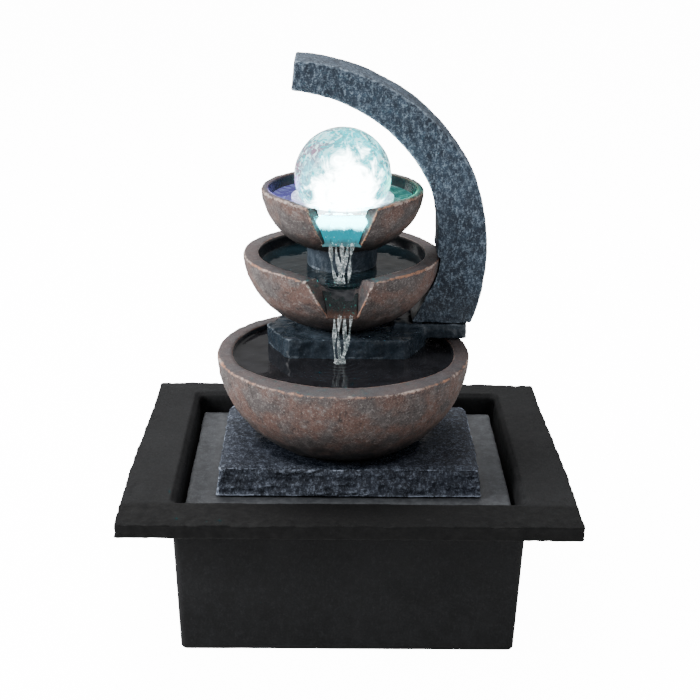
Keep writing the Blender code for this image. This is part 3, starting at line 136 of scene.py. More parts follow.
# %% The Look class
class Look:
    def __init__(self, name, owner=None, shader="Principled BSDF", **sockets):
        self.material = owner or bpy.data.materials.new(name)
        self.material.use_nodes = True
        self.tree = self.material.node_tree
        self.shader = self.tree.nodes[shader]
        self.set(**sockets)

    def node(self, kind, settings=None, inputs=None, output=0):
        """Adds a node: its settings first, then the values or links of its sockets."""
        made = self.tree.nodes.new("ShaderNode" + kind)
        for key, value in (settings or {}).items():
            setattr(made, key, value)
        for key, value in (inputs or {}).items():
            self.plug(made.inputs[key], value)
        return Value(self, made.outputs[output])

    def plug(self, socket, value):
        if isinstance(value, Value):
            self.tree.links.new(value.socket, socket)
        elif isinstance(value, (tuple, list)) and socket.type == "RGBA":
            socket.default_value = (*value, 1.0)[:4]
        else:
            socket.default_value = value

    def set(self, **sockets):
        """Sets the surface shader's sockets: Base_Color is written for Base Color."""
        for key, value in sockets.items():
            self.plug(self.shader.inputs[key.replace("_", " ")], value)
        return self

    def place(self):
        return self.node("TexCoord", output="Object")

    def noise(self, millimetres, detail=3.0, rough=0.55, twist=0.0, stretch=(1, 1, 1), shift=0.0):
        """Cloudy noise whose features are about this many millimetres across."""
        where = self.node("Mapping", inputs={"Vector": self.place(), "Scale": stretch,
                                             "Location": (shift, shift, shift)})
        return self.node("TexNoise", inputs={
            "Vector": where, "Scale": PER_METRE / millimetres, "Detail": detail,
            "Roughness": rough, "Distortion": twist})

    def cracks(self, millimetres):
        """The distance to the nearest border between cells of this size."""
        return self.node("TexVoronoi", {"feature": "DISTANCE_TO_EDGE"},
                         {"Vector": self.place(), "Scale": PER_METRE / millimetres})

    def axis(self, letter):
        return self.node("SeparateXYZ", inputs={0: self.place()}, output=letter)

    def painted(self, name):
        """A number that the mesh holds at each point."""
        return self.node("Attribute", {"attribute_name": name}, output="Fac")

    def mix(self, share, first, second):
        """The first colour where share is 0, the second where it is 1. A Mix node has sockets for
        numbers and for vectors too, and its colour sockets are 6 and 7, with output 2."""
        return self.node("Mix", {"data_type": "RGBA"}, {0: share, 6: first, 7: second}, output=2)

    def bump(self, height, millimetres, strength=1.0):
        """A relief of this depth. The normal goes to the surface shader."""
        return self.set(Normal=self.node("Bump", inputs={
            "Height": height, "Distance": millimetres * MM, "Strength": strength}))


print("a Look knows:", [name for name in vars(Look) if not name.startswith("__")])

# %% [markdown]
# ## Camera, floor and light
# The camera looks down by about twenty degrees from two thirds of a metre away, with a long lens
# that keeps the rim's edges nearly parallel. It is turned in three steps: down, round, and a
# slight roll.

# %% Camera
LENS, SENSOR = 74.6, 36.0   # millimetres
CAMERA_PLACE = Vector((-0.0096, -0.6593, RIM_TOP + 0.2974))
LOOK_DOWN, LOOK_ROUND, ROLL = 20.5, -0.85, 0.80


def put_in_scene(name, data):
    """An object that shows this data, in the scene."""
    obj = bpy.data.objects.new(name, data)
    bpy.context.scene.collection.objects.link(obj)
    return obj


camera_data = bpy.data.cameras.new("camera")
camera_data.lens = LENS
camera_data.sensor_width = SENSOR
camera_data.clip_start = 0.01
camera = put_in_scene("camera", camera_data)
turn = (Matrix.Rotation(math.radians(LOOK_ROUND), 4, "Z")
        @ Matrix.Rotation(math.radians(90 - LOOK_DOWN), 4, "X")
        @ Matrix.Rotation(math.radians(ROLL), 4, "Z"))
camera.matrix_world = Matrix.Translation(CAMERA_PLACE) @ turn
bpy.context.scene.camera = camera
print("camera looks along", [round(v, 3) for v in -camera.matrix_world.col[2].xyz])

# %% [markdown]
# The fountain stands on a white sweep. The floor and the sky are brighter to the camera than they
# are as light, through a Light Path node, so the ground stays pale while the slate is lit softly
# enough to stay dark. One big lamp stands high on each side and one hangs above and behind.

# %% Floor and lamps
FLOOR_SIZE, FLOOR_DROP = 6.0, 0.0004    # the floor lies a little under the pads
FLOOR_SEEN = 14.0
SKY_LIGHT, SKY_SEEN = 0.36, 16.0
bpy.ops.mesh.primitive_plane_add(size=FLOOR_SIZE, location=(0, 0, -FLOOR_DROP))
floor = bpy.context.object
floor.name = "floor"
floor_look = Look("pale_floor", Base_Color=(0.94, 0.94, 0.94), Roughness=0.9, Emission_Color=(1, 1, 1))
floor_look.set(Emission_Strength=floor_look.node("MapRange", inputs={
    "Value": floor_look.node("LightPath", output="Is Camera Ray"), "To Max": FLOOR_SEEN}))
floor.data.materials.append(floor_look.material)


def add_lamp(name, kind, place, watts, color=(1, 1, 1), **settings):
    data = bpy.data.lights.new(name, kind)
    data.energy = watts
    data.color = color
    for key, value in settings.items():
        setattr(data, key, value)
    lamp = put_in_scene(name, data)
    lamp.location = place
    return lamp


for name, place, aim, size, watts in (
        ("left_lamp", (-1.2, -0.35, 0.75), (0, 0, 0.14), 0.6, 26),
        ("right_lamp", (1.0, -0.5, 0.8), (0, 0, 0.12), 0.8, 2.5),
        ("top_lamp", (-0.1, 0.45, 1.1), (0, 0.05, 0.1), 0.7, 12)):
    lamp = add_lamp(name, "AREA", place, watts, shape="RECTANGLE", size=size, size_y=size)
    lamp.rotation_euler = (Vector(aim) - Vector(place)).to_track_quat("-Z", "Y").to_euler()
world = bpy.data.worlds.new("studio")
sky = Look("studio", world, "Background", Color=(1, 1, 1))
sky.set(Strength=sky.node("MapRange", inputs={
    "Value": sky.node("LightPath", output="Is Camera Ray"), "To Min": SKY_LIGHT, "To Max": SKY_SEEN}))
bpy.context.scene.world = world

# %% [markdown]
# ## Cast stone from meshes
# Cast resin copies real stone, so its edges are soft and its faces wander. Each piece is first
# built exactly, with Blender's own modifiers, then wrapped in an even skin by a voxel remesh, and
# at last every point of the skin is moved along its normal by layers of noise.


# %% Mesh helpers
def add_mesh(name, points, faces=(), edges=()):
    mesh = bpy.data.meshes.new(name)
    mesh.from_pydata([tuple(p) for p in points], list(edges), [tuple(f) for f in faces])
    return put_in_scene(name, mesh)


def mesh_of(name, shape):
    """An object from a BMesh, which is then freed."""
    mesh = bpy.data.meshes.new(name)
    shape.to_mesh(mesh)
    shape.free()
    return put_in_scene(name, mesh)


def settle(obj):
    """Makes the mesh what its modifiers show, and drops them."""
    bpy.context.view_layer.update()
    shown = obj.evaluated_get(bpy.context.evaluated_depsgraph_get())
    mesh = bpy.data.meshes.new_from_object(shown)
    obj.modifiers.clear()
    obj.data = mesh
    return obj


def turned(name, profile, centre, steps):
    """A (radius, height) profile turned about an upright axis; it runs down its outer side."""
    points = [(r, 0.0, z) for r, z in profile]
    obj = add_mesh(name, points, edges=[(i, i + 1) for i in range(len(points) - 1)])
    screw = obj.modifiers.new("turn", "SCREW")
    screw.steps = screw.render_steps = steps
    screw.use_merge_vertices = True
    screw.merge_threshold = 0.01 * MM
    settle(obj)
    obj.data.transform(Matrix.Translation((centre[0], centre[1], 0.0)))
    return obj


def carve(obj, tool):
    """Takes the tool away from the piece, and the tool from the scene."""
    made = obj.modifiers.new("carve", "BOOLEAN")
    made.object = tool
    made.solver = "EXACT"
    settle(obj)
    bpy.data.objects.remove(tool)
    return obj


def reskin(obj, millimetres, smoothing):
    """An even skin of small squares over the whole piece, eased a little."""
    made = obj.modifiers.new("skin", "REMESH")
    made.mode = "VOXEL"
    made.voxel_size = millimetres * MM
    made.use_smooth_shade = True
    ease = obj.modifiers.new("ease", "SMOOTH")
    ease.factor = 0.5
    ease.iterations = smoothing
    return settle(obj)


def copy_of(node, name):
    """A free copy of a packed piece's mesh."""
    obj = put_in_scene(name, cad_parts[node].data.copy())
    obj.data.materials.clear()
    return obj


print("mesh helpers ready")


# %% [markdown]
# The relief works on whole arrays: read every point and normal, work out one height per point,
# and write the points back. `soften` spreads a number over the neighbours, and `sharpness` finds
# the proud edges, which dry-brushed paint and wear both pick out.


# %% Relief helpers
FULL_EDGE = 300             # a bend of this much, in 1/m, is a fully rubbed edge


def read(obj):
    """The points and the normals of a mesh, a row for each point."""
    vertices = obj.data.vertices
    both = np.empty((2, len(vertices) * 3))
    for values, name in zip(both, ("co", "normal")):
        vertices.foreach_get(name, values)
    return both.reshape(2, -1, 3)


def write(obj, points):
    obj.data.vertices.foreach_set("co", np.ascontiguousarray(points).ravel())
    obj.data.update()


def write_inside(obj, points, node, inset=0.02 * MM):
    """Writes the points, held inside the box of a packed piece, so that relief never grows the
    object, and returns them."""
    low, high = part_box(node)
    points = np.clip(points, np.array(low) + inset, np.array(high) - inset)
    write(obj, points)
    return points


def neighbours(obj):
    """Both ends of every edge, each way round, and how many neighbours each point has."""
    ends = np.empty(len(obj.data.edges) * 2, int)
    obj.data.edges.foreach_get("vertices", ends)
    ends = ends.reshape(-1, 2)
    both = np.concatenate([ends, ends[:, ::-1]])
    count = np.bincount(both[:, 0], minlength=len(obj.data.vertices)).astype(float)
    return both, np.maximum(count, 1)


def soften(values, links, rounds):
    """Spreads a number over the neighbours, so many times."""
    both, count = links
    for _ in range(rounds):
        around = np.bincount(both[:, 0], weights=values[both[:, 1]], minlength=len(values)) / count
        values = (values + around) / 2
    return values


def sharpness(obj):
    """How proud each point stands of its neighbours: over 0 on an edge, under 0 in a groove."""
    points, normals = read(obj)
    links = both, count = neighbours(obj)
    reach = points[both[:, 1]] - points[both[:, 0]]
    away = np.zeros_like(points)
    for i in range(3):
        away[:, i] = np.bincount(both[:, 0], weights=reach[:, i], minlength=len(points)) / count
    length = np.bincount(both[:, 0], weights=(reach ** 2).sum(1), minlength=len(points)) / count
    bend = -(away * normals).sum(1) / np.maximum(length, 1e-12)
    return soften(bend, links, 2) / FULL_EDGE


def paint(obj, **layers):
    """Stores one number per point under each name, for the shader to read."""
    for name, values in layers.items():
        layer = obj.data.attributes.get(name) or obj.data.attributes.new(name, "FLOAT", "POINT")
        layer.data.foreach_set("value", np.ascontiguousarray(values, np.float32))


def field(points, millimetres, octaves=3, seed=0.0, stretch=(1, 1, 1)):
    """Layered noise from about -1 to 1 at each point."""
    scale = np.array(stretch) * PER_METRE / millimetres
    shift = Vector((17.3 * seed, -9.1 * seed, 5.7 * seed))
    return np.array([noise.fractal(Vector(p) + shift, 0.9, 2.1, octaves) for p in points * scale])


def step(values, low, high):
    """A smooth step from 0 at low to 1 at high."""
    t = np.clip((values - low) / (high - low), 0, 1)
    return t * t * (3 - 2 * t)


def near(gap, width):
    """1 where the gap is nothing, and fading out over this width."""
    return np.exp(-(gap / width) ** 2)


print("relief helpers ready")

# %% [markdown]
# ## Cast slate finish
# Every slate piece here is resin cast on real slate and painted: a dark coat, a lighter dry-brush
# that only catches the high spots, and pale dust on the proud edges. So one recipe makes them
# all: a mottled base, a speckle that follows the relief, and a light line where the mesh says that
# an edge is proud. The pieces differ in their three colours and in how strong the brush was. The
# tub's front border gets painted shade, darker towards the front, so its look takes a shade in y.


# %% Slate material
def slate(name, deep, body, pale, brush, edge=(0.35, 0.9), rough=(0.62, 0.88), shade=None,
          shine=0.4):
    look = Look(name, Specular_IOR_Level=shine)
    cloud = look.noise(26, detail=4)
    mottle = look.noise(5, detail=5, rough=0.65, shift=3.0)
    grit = look.noise(0.8, detail=2, rough=0.7, shift=9.0)
    scratch = look.noise(1.5, detail=4, rough=0.75, stretch=(1.0, 1.0, 0.5), shift=5.0)
    share = (cloud * 0.45 + mottle * 0.8).between(0.45, 0.82)
    color = look.mix(share, deep, body)
    high = (grit * 0.60 + scratch * 0.70 + mottle * 0.25).between(0.72, 1.06)
    color = look.mix((high * brush).clamped(), color, pale)
    proud = look.painted("edge").between(*edge) * (mottle + grit).between(0.75, 1.1)
    color = look.mix((proud * (0.35 + brush)).clamped(), color, pale)
    wet = look.painted("wet")
    color = look.mix(wet * 0.7, color, tuple(0.4 * c for c in deep))
    # painted shade: the tub's front border is darkened towards the front in y
    if shade:
        front, back, strength = shade
        front_shade_share = look.axis("Y").between(back, front)
        color = look.mix(front_shade_share * strength, color, tuple(0.35 * c for c in deep))
    look.set(Base_Color=color)
    dry = look.node("MapRange", inputs={"Value": mottle, "From Min": 0.3, "From Max": 0.7,
                                        "To Min": rough[0], "To Max": rough[1]})
    look.set(Roughness=(dry * (1 - wet * 0.72)).clamped())
    look.bump(mottle * 0.6 + scratch * 0.5 + grit * 0.35, 0.16, 0.8)
    return look.material


PAINTED_FRONT_SHADE = (-0.066, -0.062, 0.92)    # dark in front of the first y, gone behind the second
RIM_LOOK = slate("black_slate", (0.0058, 0.0060, 0.0066), (0.0140, 0.0145, 0.0157),
                 (0.05, 0.052, 0.056), brush=0.22, edge=(0.5, 1.4), shade=PAINTED_FRONT_SHADE, shine=0.22)
TRAY_LOOK = slate("grey_slate", (0.045, 0.048, 0.054), (0.10, 0.107, 0.117), (0.2, 0.21, 0.22),
                  brush=0.35)
PLINTH_LOOK = slate("blue_slate", (0.006, 0.009, 0.016), (0.027, 0.034, 0.052), (0.32, 0.37, 0.47),
                    brush=0.62, edge=(0.2, 0.7))
ARCH_LOOK = slate("arch_slate", (0.011, 0.020, 0.035), (0.038, 0.063, 0.097), (0.33, 0.42, 0.52),
                  brush=0.88, edge=(0.25, 0.8))
ROCK_LOOK = slate("wet_rock", (0.024, 0.038, 0.054), (0.060, 0.082, 0.108), (0.28, 0.33, 0.39),
                  brush=0.35, rough=(0.25, 0.5))
print("slate looks:", [m.name for m in (RIM_LOOK, TRAY_LOOK, PLINTH_LOOK, ARCH_LOOK, ROCK_LOOK)])

# %% [markdown]
# ## The tub and its rim
# The tub is one casting: a thin box with a wide, flat, cleft rim. The eye reads the rim by its
# chipped edge, which needs even, close points. So the whole casting is one loft of closed rings,
# from the middle of the floor up the inside, over the mouth, across the rim, round its edge, and
# down the outside. Each ring is a rounded rectangle, so the squares stay regular everywhere.


# %% Ring lofts
CORNER_POINTS = 9


def rounded_ring(x_low, x_high, y_low, y_high, corner, count):
    """Points evenly spaced along a rounded rectangle, from the middle of its front."""
    corner = min(corner, (x_high - x_low) / 2, (y_high - y_low) / 2)
    corners = ((x_high - corner, y_low + corner, -90), (x_high - corner, y_high - corner, 0),
               (x_low + corner, y_high - corner, 90), (x_low + corner, y_low + corner, 180))
    path = [((x_low + x_high) / 2, y_low)]
    for cx, cy, first in corners:
        for angle in np.radians(np.linspace(first, first + 90, CORNER_POINTS)):
            path.append((cx + corner * math.cos(angle), cy + corner * math.sin(angle)))
    path = np.array(path + path[:1])
    run = np.concatenate([[0], np.cumsum(np.hypot(*np.diff(path, axis=0).T))])
    places = np.linspace(0, run[-1], count, endpoint=False)
    return np.stack([np.interp(places, run, path[:, i]) for i in (0, 1)], axis=1)


def ring_quads(rings, count):
    """Quads between one closed ring of points and the next."""
    return [(first + i, first + count + i, first + count + (i + 1) % count, first + (i + 1) % count)
            for first in range(0, (rings - 1) * count, count) for i in range(count)]


def loft(name, rings):
    """Joins closed rings of the same number of points with quads, and closes both ends."""
    count = len(rings[0])
    points = np.concatenate(rings)
    ends = [tuple(range(count)), tuple(reversed(range(len(points) - count, len(points))))]
    obj = add_mesh(name, points, ring_quads(len(rings), count) + ends)
    shape = bmesh.new()
    shape.from_mesh(obj.data)
    bmesh.ops.recalc_face_normals(shape, faces=shape.faces)
    shape.to_mesh(obj.data)
    shape.free()
    obj.data.shade_smooth()
    return obj


def dress(obj, body, look, slot_name, *nodes):
    """Gives a finished piece its material and its body, and hides the packed pieces it stands for. The
    slot name is not used.
    """
    obj.data.materials.clear()
    obj.data.materials.append(look)
    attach(obj, body)
    if nodes:
        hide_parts(*nodes)
    print(f"{obj.name}: {len(obj.data.polygons)} faces, riding on {body}")
    return obj


print("a corner of a ring takes", CORNER_POINTS, "points")

# %% [markdown]
# The sizes of the tub come first: a thin wall that leans in towards the foot, and a thick rim that
# is a little narrower behind. A few rings of the wall and of the rim mark where the surface turns,
# and `between` fills the stretches from one to the next with more rings.

# %% The tub's rings
RIM_THICKNESS = 0.0076
WALL = 0.0026
FLOOR = 0.0030
WALL_LEAN = 0.0028          # each wall leans in by this at the foot
MOUTH_ROUND = 0.0025
TUB_HALF_WIDTH = 0.0822
TUB_FRONT, TUB_BACK = -0.0640, 0.0715
RIM_NARROWING = 0.0024      # the rim is narrower at the back
RIM_CROWN = 0.0028          # and its back edge is bowed
RIM_EDGE = 0.0006           # how much its top and bottom faces stand back from its edge
RIM_FOOT = RIM_TOP - RIM_THICKNESS
RING_POINTS = 640


def tub_ring(z, inset, corner=0.0030):
    """A ring of the tub's wall at a height; inset is measured in from the outside."""
    inset = inset + WALL_LEAN * (RIM_TOP - z) / (RIM_TOP - TUB_FOOT)
    x = TUB_HALF_WIDTH - inset
    flat = rounded_ring(-x, x, TUB_FRONT + inset, TUB_BACK - inset, corner, RING_POINTS)
    return np.column_stack([flat, np.full(RING_POINTS, z)])


def rim_ring(z, inset=0.0):
    """The rim's cleft outline: full width in front, narrower behind, its back edge bowed."""
    flat = rounded_ring(rim_low.x + inset, rim_high.x - inset, rim_low.y + inset, rim_high.y - inset,
                        0.0014, RING_POINTS)
    back = step(flat[:, 1], -0.035, 0.070)
    flat[:, 0] -= np.sign(flat[:, 0]) * RIM_NARROWING * back * (np.abs(flat[:, 0]) / rim_high.x) ** 4
    bow = RIM_CROWN * (flat[:, 0] / rim_high.x) ** 2
    flat[:, 1] -= np.where(flat[:, 1] > 0, bow * (flat[:, 1] / rim_high.y) ** 6, 0)
    return np.column_stack([flat, np.full(RING_POINTS, z)])


def between(first, last, shares):
    return [first + (last - first) * t for t in shares]


floor_ring = tub_ring(TUB_FOOT + FLOOR, WALL)
inner_foot = tub_ring(TUB_FOOT + FLOOR + 0.003, WALL)
inner_top = tub_ring(RIM_TOP - MOUTH_ROUND, WALL)
mouth = tub_ring(RIM_TOP, WALL - MOUTH_ROUND, corner=0.004)
neck_ring = tub_ring(RIM_FOOT, 0.0)
outer_foot = tub_ring(TUB_FOOT + 0.0014, 0.0)
bottom_ring = tub_ring(TUB_FOOT, 0.0016)
TO_MIDDLE = (0.15, 0.15, 1)     # draws a ring in towards the middle of the floor

rings = between(floor_ring * TO_MIDDLE, floor_ring, np.linspace(0, 0.97, 14))
rings += between(inner_foot, inner_top, np.linspace(0, 1, 26))
rings += between(inner_top, mouth, (0.35, 0.75))
rings += between(mouth, rim_ring(RIM_TOP, RIM_EDGE), np.linspace(0, 1, 21))
rings += [rim_ring(z) for z in np.linspace(RIM_TOP - 0.0007, RIM_FOOT + 0.0007, 9)]
rings += between(rim_ring(RIM_FOOT, RIM_EDGE), neck_ring, np.linspace(0, 1, 13))
rings += between(neck_ring, outer_foot, np.linspace(0.02, 1, 30))
rings += [tub_ring(TUB_FOOT + 0.0005, 0.0004)]
rings += between(bottom_ring, bottom_ring * TO_MIDDLE, np.linspace(0, 1, 10))
basin = loft("tub_casting", rings)
print("tub casting:", len(basin.data.vertices), "points")

# %% [markdown]
# The relief: broad shallow plates where the slate has split, fine cleft lines, and an edge that is
# chipped more in some places than in others. The chips only ever take material away.


# %% Cleave the rim
EDGE_BAND = 0.006           # the rim is chipped this far in from its edge
points, normals = read(basin)
top_side = step(points[:, 2], RIM_TOP - 0.0012, RIM_TOP - 0.0002)
on_rim = step(points[:, 2], RIM_FOOT - 0.0010, RIM_FOOT + 0.0002)
reach = 1 + (np.abs(points[:, :2]) - rim_high[:2]).max(axis=1) / EDGE_BAND
near_edge = np.clip(reach, 0, 1) * on_rim
plates = field(points, 38, 3, seed=1)
cleft = field(points, 9, 4, seed=2, stretch=(1, 1.6, 2.5))
layers = field(points, 7, 3, seed=3, stretch=(0.35, 0.35, 3.2))
chips = field(points, 5, 3, seed=4)
fine = field(points, 2.6, 2, seed=5)
push = 0.00022 * plates + 0.00016 * cleft + 0.00007 * fine - 0.0003
edge_push = 0.00035 * layers + 0.0004 * chips + 0.0001 * fine - 0.00045
amount = push * (0.35 + 0.65 * on_rim)
amount = amount * (1 - near_edge) + np.minimum(edge_push, 0.0) * near_edge
points = points + normals * amount[:, None]
# the cleft top falls away in shallow terraces near the outer edge
terrace = step(cleft + 0.5 * plates, 0.25, 0.4) * top_side * np.clip(reach * 2 + 1, 0, 1)
points[:, 2] -= 0.0005 * terrace
points = write_inside(basin, points, "basin")
paint(basin, edge=sharpness(basin), wet=np.zeros(len(points)))
dress(basin, "tub", RIM_LOOK, "slate_black", "basin")

# %% [markdown]
# ## The tray
# The tray is a grey slate-textured plate that drops into the tub's mouth and carries everything
# above. Its packed solid is right in size, so it is copied, given an even skin and a relief. The
# stone is damp for a few millimetres around the plinth.


# %% Tray
tray = reskin(copy_of("slate_tray", "grey_tray"), 1.05, smoothing=1)
points, normals = read(tray)
push = 0.00028 * field(points, 24, 4, seed=11) + 0.00018 * field(points, 6, 3, seed=12) - 0.00032
points = write_inside(tray, points + normals * push[:, None], "slate_tray")
plinth_low, plinth_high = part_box("slate_plinth")
apart = np.maximum(np.abs(points[:, 0]) - plinth_high.x, plinth_low.y - points[:, 1])
darker_near_foot = (1 - step(apart, 0.0, 0.006)) * 0.5
paint(tray, edge=sharpness(tray), wet=darker_near_foot)
dress(tray, "tray", TRAY_LOOK, "slate_grey", "slate_tray")

# %% [markdown]
# ## The plinth
# A thick slab with rough, chipped sides, rounder at its back corners. The chips on its edge are
# what catches the white dry-brush, so they are made in the mesh, layer upon layer, and the wet
# ring around the bowl is stored per point.


# %% Plinth
def round_corner(points, x, y, radius, side_x, side_y):
    """Brings the points beyond a rounded corner in onto it."""
    cx, cy = x - side_x * radius, y - side_y * radius
    away = (points[:, :2] - (cx, cy)) * (side_x, side_y)
    far = np.hypot(*away.T)
    hit = (away > 0).all(axis=1) & (far > radius)
    scale = np.where(hit, radius / np.maximum(far, 1e-9), 1)
    points[hit, :2] = np.array((cx, cy)) + (points[hit, :2] - (cx, cy)) * scale[hit, None]
    return points


plinth = reskin(copy_of("slate_plinth", "rough_plinth"), 0.8, smoothing=1)
points, normals = read(plinth)
for side in (-1, 1):
    points = round_corner(points, side * plinth_high.x, plinth_high.y, 0.016, side, 1)
    points = round_corner(points, side * plinth_high.x, plinth_low.y, 0.003, side, -1)
sides = 1 - step(np.abs(normals[:, 2]), 0.35, 0.75)
top_side = step(normals[:, 2], 0.5, 0.9)
edge_reach = 0.005 + np.max([np.abs(points[:, 0]) - plinth_high.x, points[:, 1] - plinth_high.y,
                             plinth_low.y - points[:, 1]], axis=0)
near_edge = np.clip(edge_reach / 0.003, 0, 1)
layers = field(points, 7, 4, seed=21, stretch=(0.45, 0.45, 2.4))
chips = field(points, 4.5, 3, seed=22)
fine = field(points, 2.2, 2, seed=23)
broad = field(points, 22, 3, seed=24)
push = sides * (0.0009 * layers + 0.00055 * chips - 0.0009) + (1 - sides) * (0.00025 * broad - 0.0003)
push = push + 0.00016 * fine - top_side * near_edge * (0.0006 + 0.0009 * np.maximum(chips, 0))
points = write_inside(plinth, points + normals * np.minimum(push, 0.0)[:, None], "slate_plinth")
lower_place = round_place("lower_bowl")
from_bowl = np.hypot(points[:, 0] - lower_place["x"], points[:, 1] - lower_place["y"])
ragged = field(points, 9, 3, seed=25) * 0.0022
ring = 1 - step(from_bowl + ragged, 0.040, 0.047)
paint(plinth, edge=sharpness(plinth), wet=ring * top_side)
dress(plinth, "stonework", PLINTH_LOOK, "slate_blue", "slate_plinth")

# %% [markdown]
# ## The bowls
# Each bowl is a turned casting: a thick rim, a swelling side and a narrow foot. The profile is
# drawn as two quarter-ellipses, turned, and notched. The notch is a wedge that is wide outside
# and at the top, so that its cheeks show as flat slanting faces.


# %% Bowl sizes, from the packed bowls
# swell is the height of the quarter-ellipse that the outside follows
LOWER_BOWL = {**lower_place, "wall": 0.0082, "swell": 0.0540, "floor": 0.0080}
MIDDLE_BOWL = {**round_place("middle_bowl"), "wall": 0.0083, "swell": 0.0395, "floor": 0.0055}
UPPER_BOWL = {**round_place("upper_bowl"), "wall": 0.0041, "swell": 0.0335, "floor": 0.0045}
# a notch: its depth, then its middle, its outer and inner half widths and its chute, each at the
# lip and at the foot
UPPER_SPOUT = {"drop": 0.0220, "x": (-0.0046, -0.0044), "out": (0.0174, 0.0091),
               "in": (0.0110, 0.0074), "chute": (0.0018, 0.0079)}
MIDDLE_SPOUT = {"drop": 0.0212, "x": (-0.0056, -0.0038), "out": (0.0165, 0.0070),
                "in": (0.0102, 0.0064), "chute": (0.0020, 0.0006)}
LIP, FOOT = 0, 1


def bowl_profile(bowl, count=30):
    """(radius, height) from the middle of the inside, up, over the rounded lip, and down outside."""
    lip, wall, top = bowl["radius"], bowl["wall"], bowl["lip"]
    deep = bowl["height"] - bowl["floor"]
    last = math.asin(min(bowl["height"] / bowl["swell"], 1.0))
    quarter = math.pi / 2
    inside = [((lip - wall) * math.cos(quarter * i / count), top - deep * math.sin(quarter * i / count))
              for i in range(2, count + 1)]
    outside = [(lip * math.cos(last * i / count), top - bowl["swell"] * math.sin(last * i / count))
               for i in range(2, count + 1)]
    soft = min(0.0012, wall / 3)
    brim = lip - wall
    profile = [(max(r, 0.0), z) for r, z in reversed(inside)]
    profile += [(brim, top - soft), (brim + soft * 0.4, top - soft * 0.3), (brim + soft, top)]
    profile += [(lip - soft, top), (lip - soft * 0.3, top - soft * 0.35), (lip, top - soft)]
    return profile + outside + [(0.0, outside[-1][1])]


def at_depth(spout, key, share):
    """One measure of a notch, at a share of its depth from the lip to the foot."""
    return spout[key][LIP] + (spout[key][FOOT] - spout[key][LIP]) * share


def spout_level(bowl, spout, depth):
    """A notch at one depth below the lip: centre, outer and inner half widths, and their y."""
    x, outer, inner, chute = (at_depth(spout, key, depth / spout["drop"])
                              for key in ("x", "out", "in", "chute"))
    radius = bowl["radius"] * math.sqrt(1 - (max(depth, 0.0) / bowl["swell"]) ** 2)
    return (x, outer, inner, bowl["y"] - math.sqrt(radius ** 2 - outer ** 2),
            bowl["y"] - bowl["radius"] + bowl["wall"] + chute)


def wedge(bowl, spout):
    """The notch to be cut: rings from above the lip to the notch's foot. Its faces are divided
    finely, so that the cheeks and the chute that it leaves can take a relief too."""
    flare, over, levels, across = 1.5, 0.002, 40, 24
    rings = []
    for depth in np.linspace(-over, spout["drop"], levels):
        x, outer, inner, y_outer, y_inner = spout_level(bowl, spout, depth)
        shares = np.linspace(0, flare, across)
        cheek = [(inner + (outer - inner) * t, y_inner + (y_outer - y_inner) * t) for t in shares]
        front = (cheek[-1][0], bowl["y"] - bowl["radius"] - over)
        chute = [(x + inner * t, y_inner) for t in np.linspace(1, -1, across + 2)[1:-1]]
        right = [(x + w, y) for w, y in [front] + cheek[::-1]]
        left = [(x - w, y) for w, y in cheek + [front]]
        rings.append([(px, py, bowl["lip"] - depth) for px, py in right + chute + left])
    return loft("wedge", rings)


for place in (LOWER_BOWL, MIDDLE_BOWL, UPPER_BOWL):
    print("bowl, mm:", {key: round(value / MM, 1) for key, value in place.items()})

# %% [markdown]
# The bowls are bronze-painted: a warm brown with grey and tan grains, redder patches, nearly black
# inside where they are wet, and a coppery line where paint has been rubbed off the sharp lip. Towards
# the foot they are darkened with painted shade. Each layer is mixed over the ones before it, and the
# layers that depend on the shape are read from the mesh.


# %% Bronze finish
def bronze(name):
    look = Look(name, Specular_IOR_Level=0.45)
    patch = look.noise(14, detail=4)
    mottle = look.noise(4, detail=5, rough=0.7, shift=2.0)
    grain = look.noise(0.9, detail=3, rough=0.75, shift=7.0)
    speck = look.noise(0.6, detail=2, rough=0.7, shift=11.0)
    color = look.mix(patch.between(0.40, 0.62), (0.094, 0.080, 0.078), (0.145, 0.083, 0.067))
    color = look.mix(mottle.between(0.50, 0.72) * 0.8, color, (0.20, 0.175, 0.168))
    color = look.mix(mottle.between(0.48, 0.30) * 0.85, color, (0.035, 0.029, 0.028))
    color = look.mix(grain.between(0.55, 0.68) * 0.6, color, (0.38, 0.35, 0.335))
    color = look.mix(grain.between(0.46, 0.34) * 0.7, color, (0.022, 0.018, 0.017))
    color = look.mix(speck.between(0.66, 0.72) * 0.6, color, (0.60, 0.57, 0.55))
    # painted shade: the bowl is made nearly black towards its foot
    low = look.painted("low")
    color = look.mix((low * (0.72 + 0.55 * mottle)).clamped(), color, (0.009, 0.0085, 0.009))
    color = look.mix(look.painted("lip") * (0.45 + 0.4 * mottle), color, (0.062, 0.058, 0.064))
    rubbed = look.painted("edge").between(0.30, 0.75) * (mottle + grain).between(0.75, 1.05)
    copper = look.mix(patch.between(0.42, 0.6), (0.48, 0.23, 0.14), (0.58, 0.48, 0.43))
    color = look.mix((rubbed * 0.95).clamped(), color, copper)
    wet = look.painted("wet")
    color = look.mix(wet * 0.93, color, (0.016, 0.021, 0.028))
    look.set(Base_Color=color, Roughness=(0.62 - wet * 0.50 + grain * 0.12).clamped())
    look.bump((grain * 0.8 + mottle * 0.5 + speck * 0.3) * (1 - wet * 0.8), 0.22, 0.9)
    return look.material


BRONZE = bronze("bronze_paint")
print("bronze nodes:", len(BRONZE.node_tree.nodes))

# %% [markdown]
# No two castings are quite alike: the lip sinks a little towards a notch, and the lower bowl's lip
# is broader in front than at its sides. Both are small moves of the points near the lip.


# %% The shape of a cast bowl
LIP_EXTRA = 0.0048          # how much broader the lower bowl's lip is in front


def from_axis(points, bowl):
    """x and y measured from a bowl's axis, and the distance from it."""
    away = points[:, :2] - (bowl["x"], bowl["y"])
    return away, np.hypot(*away.T)


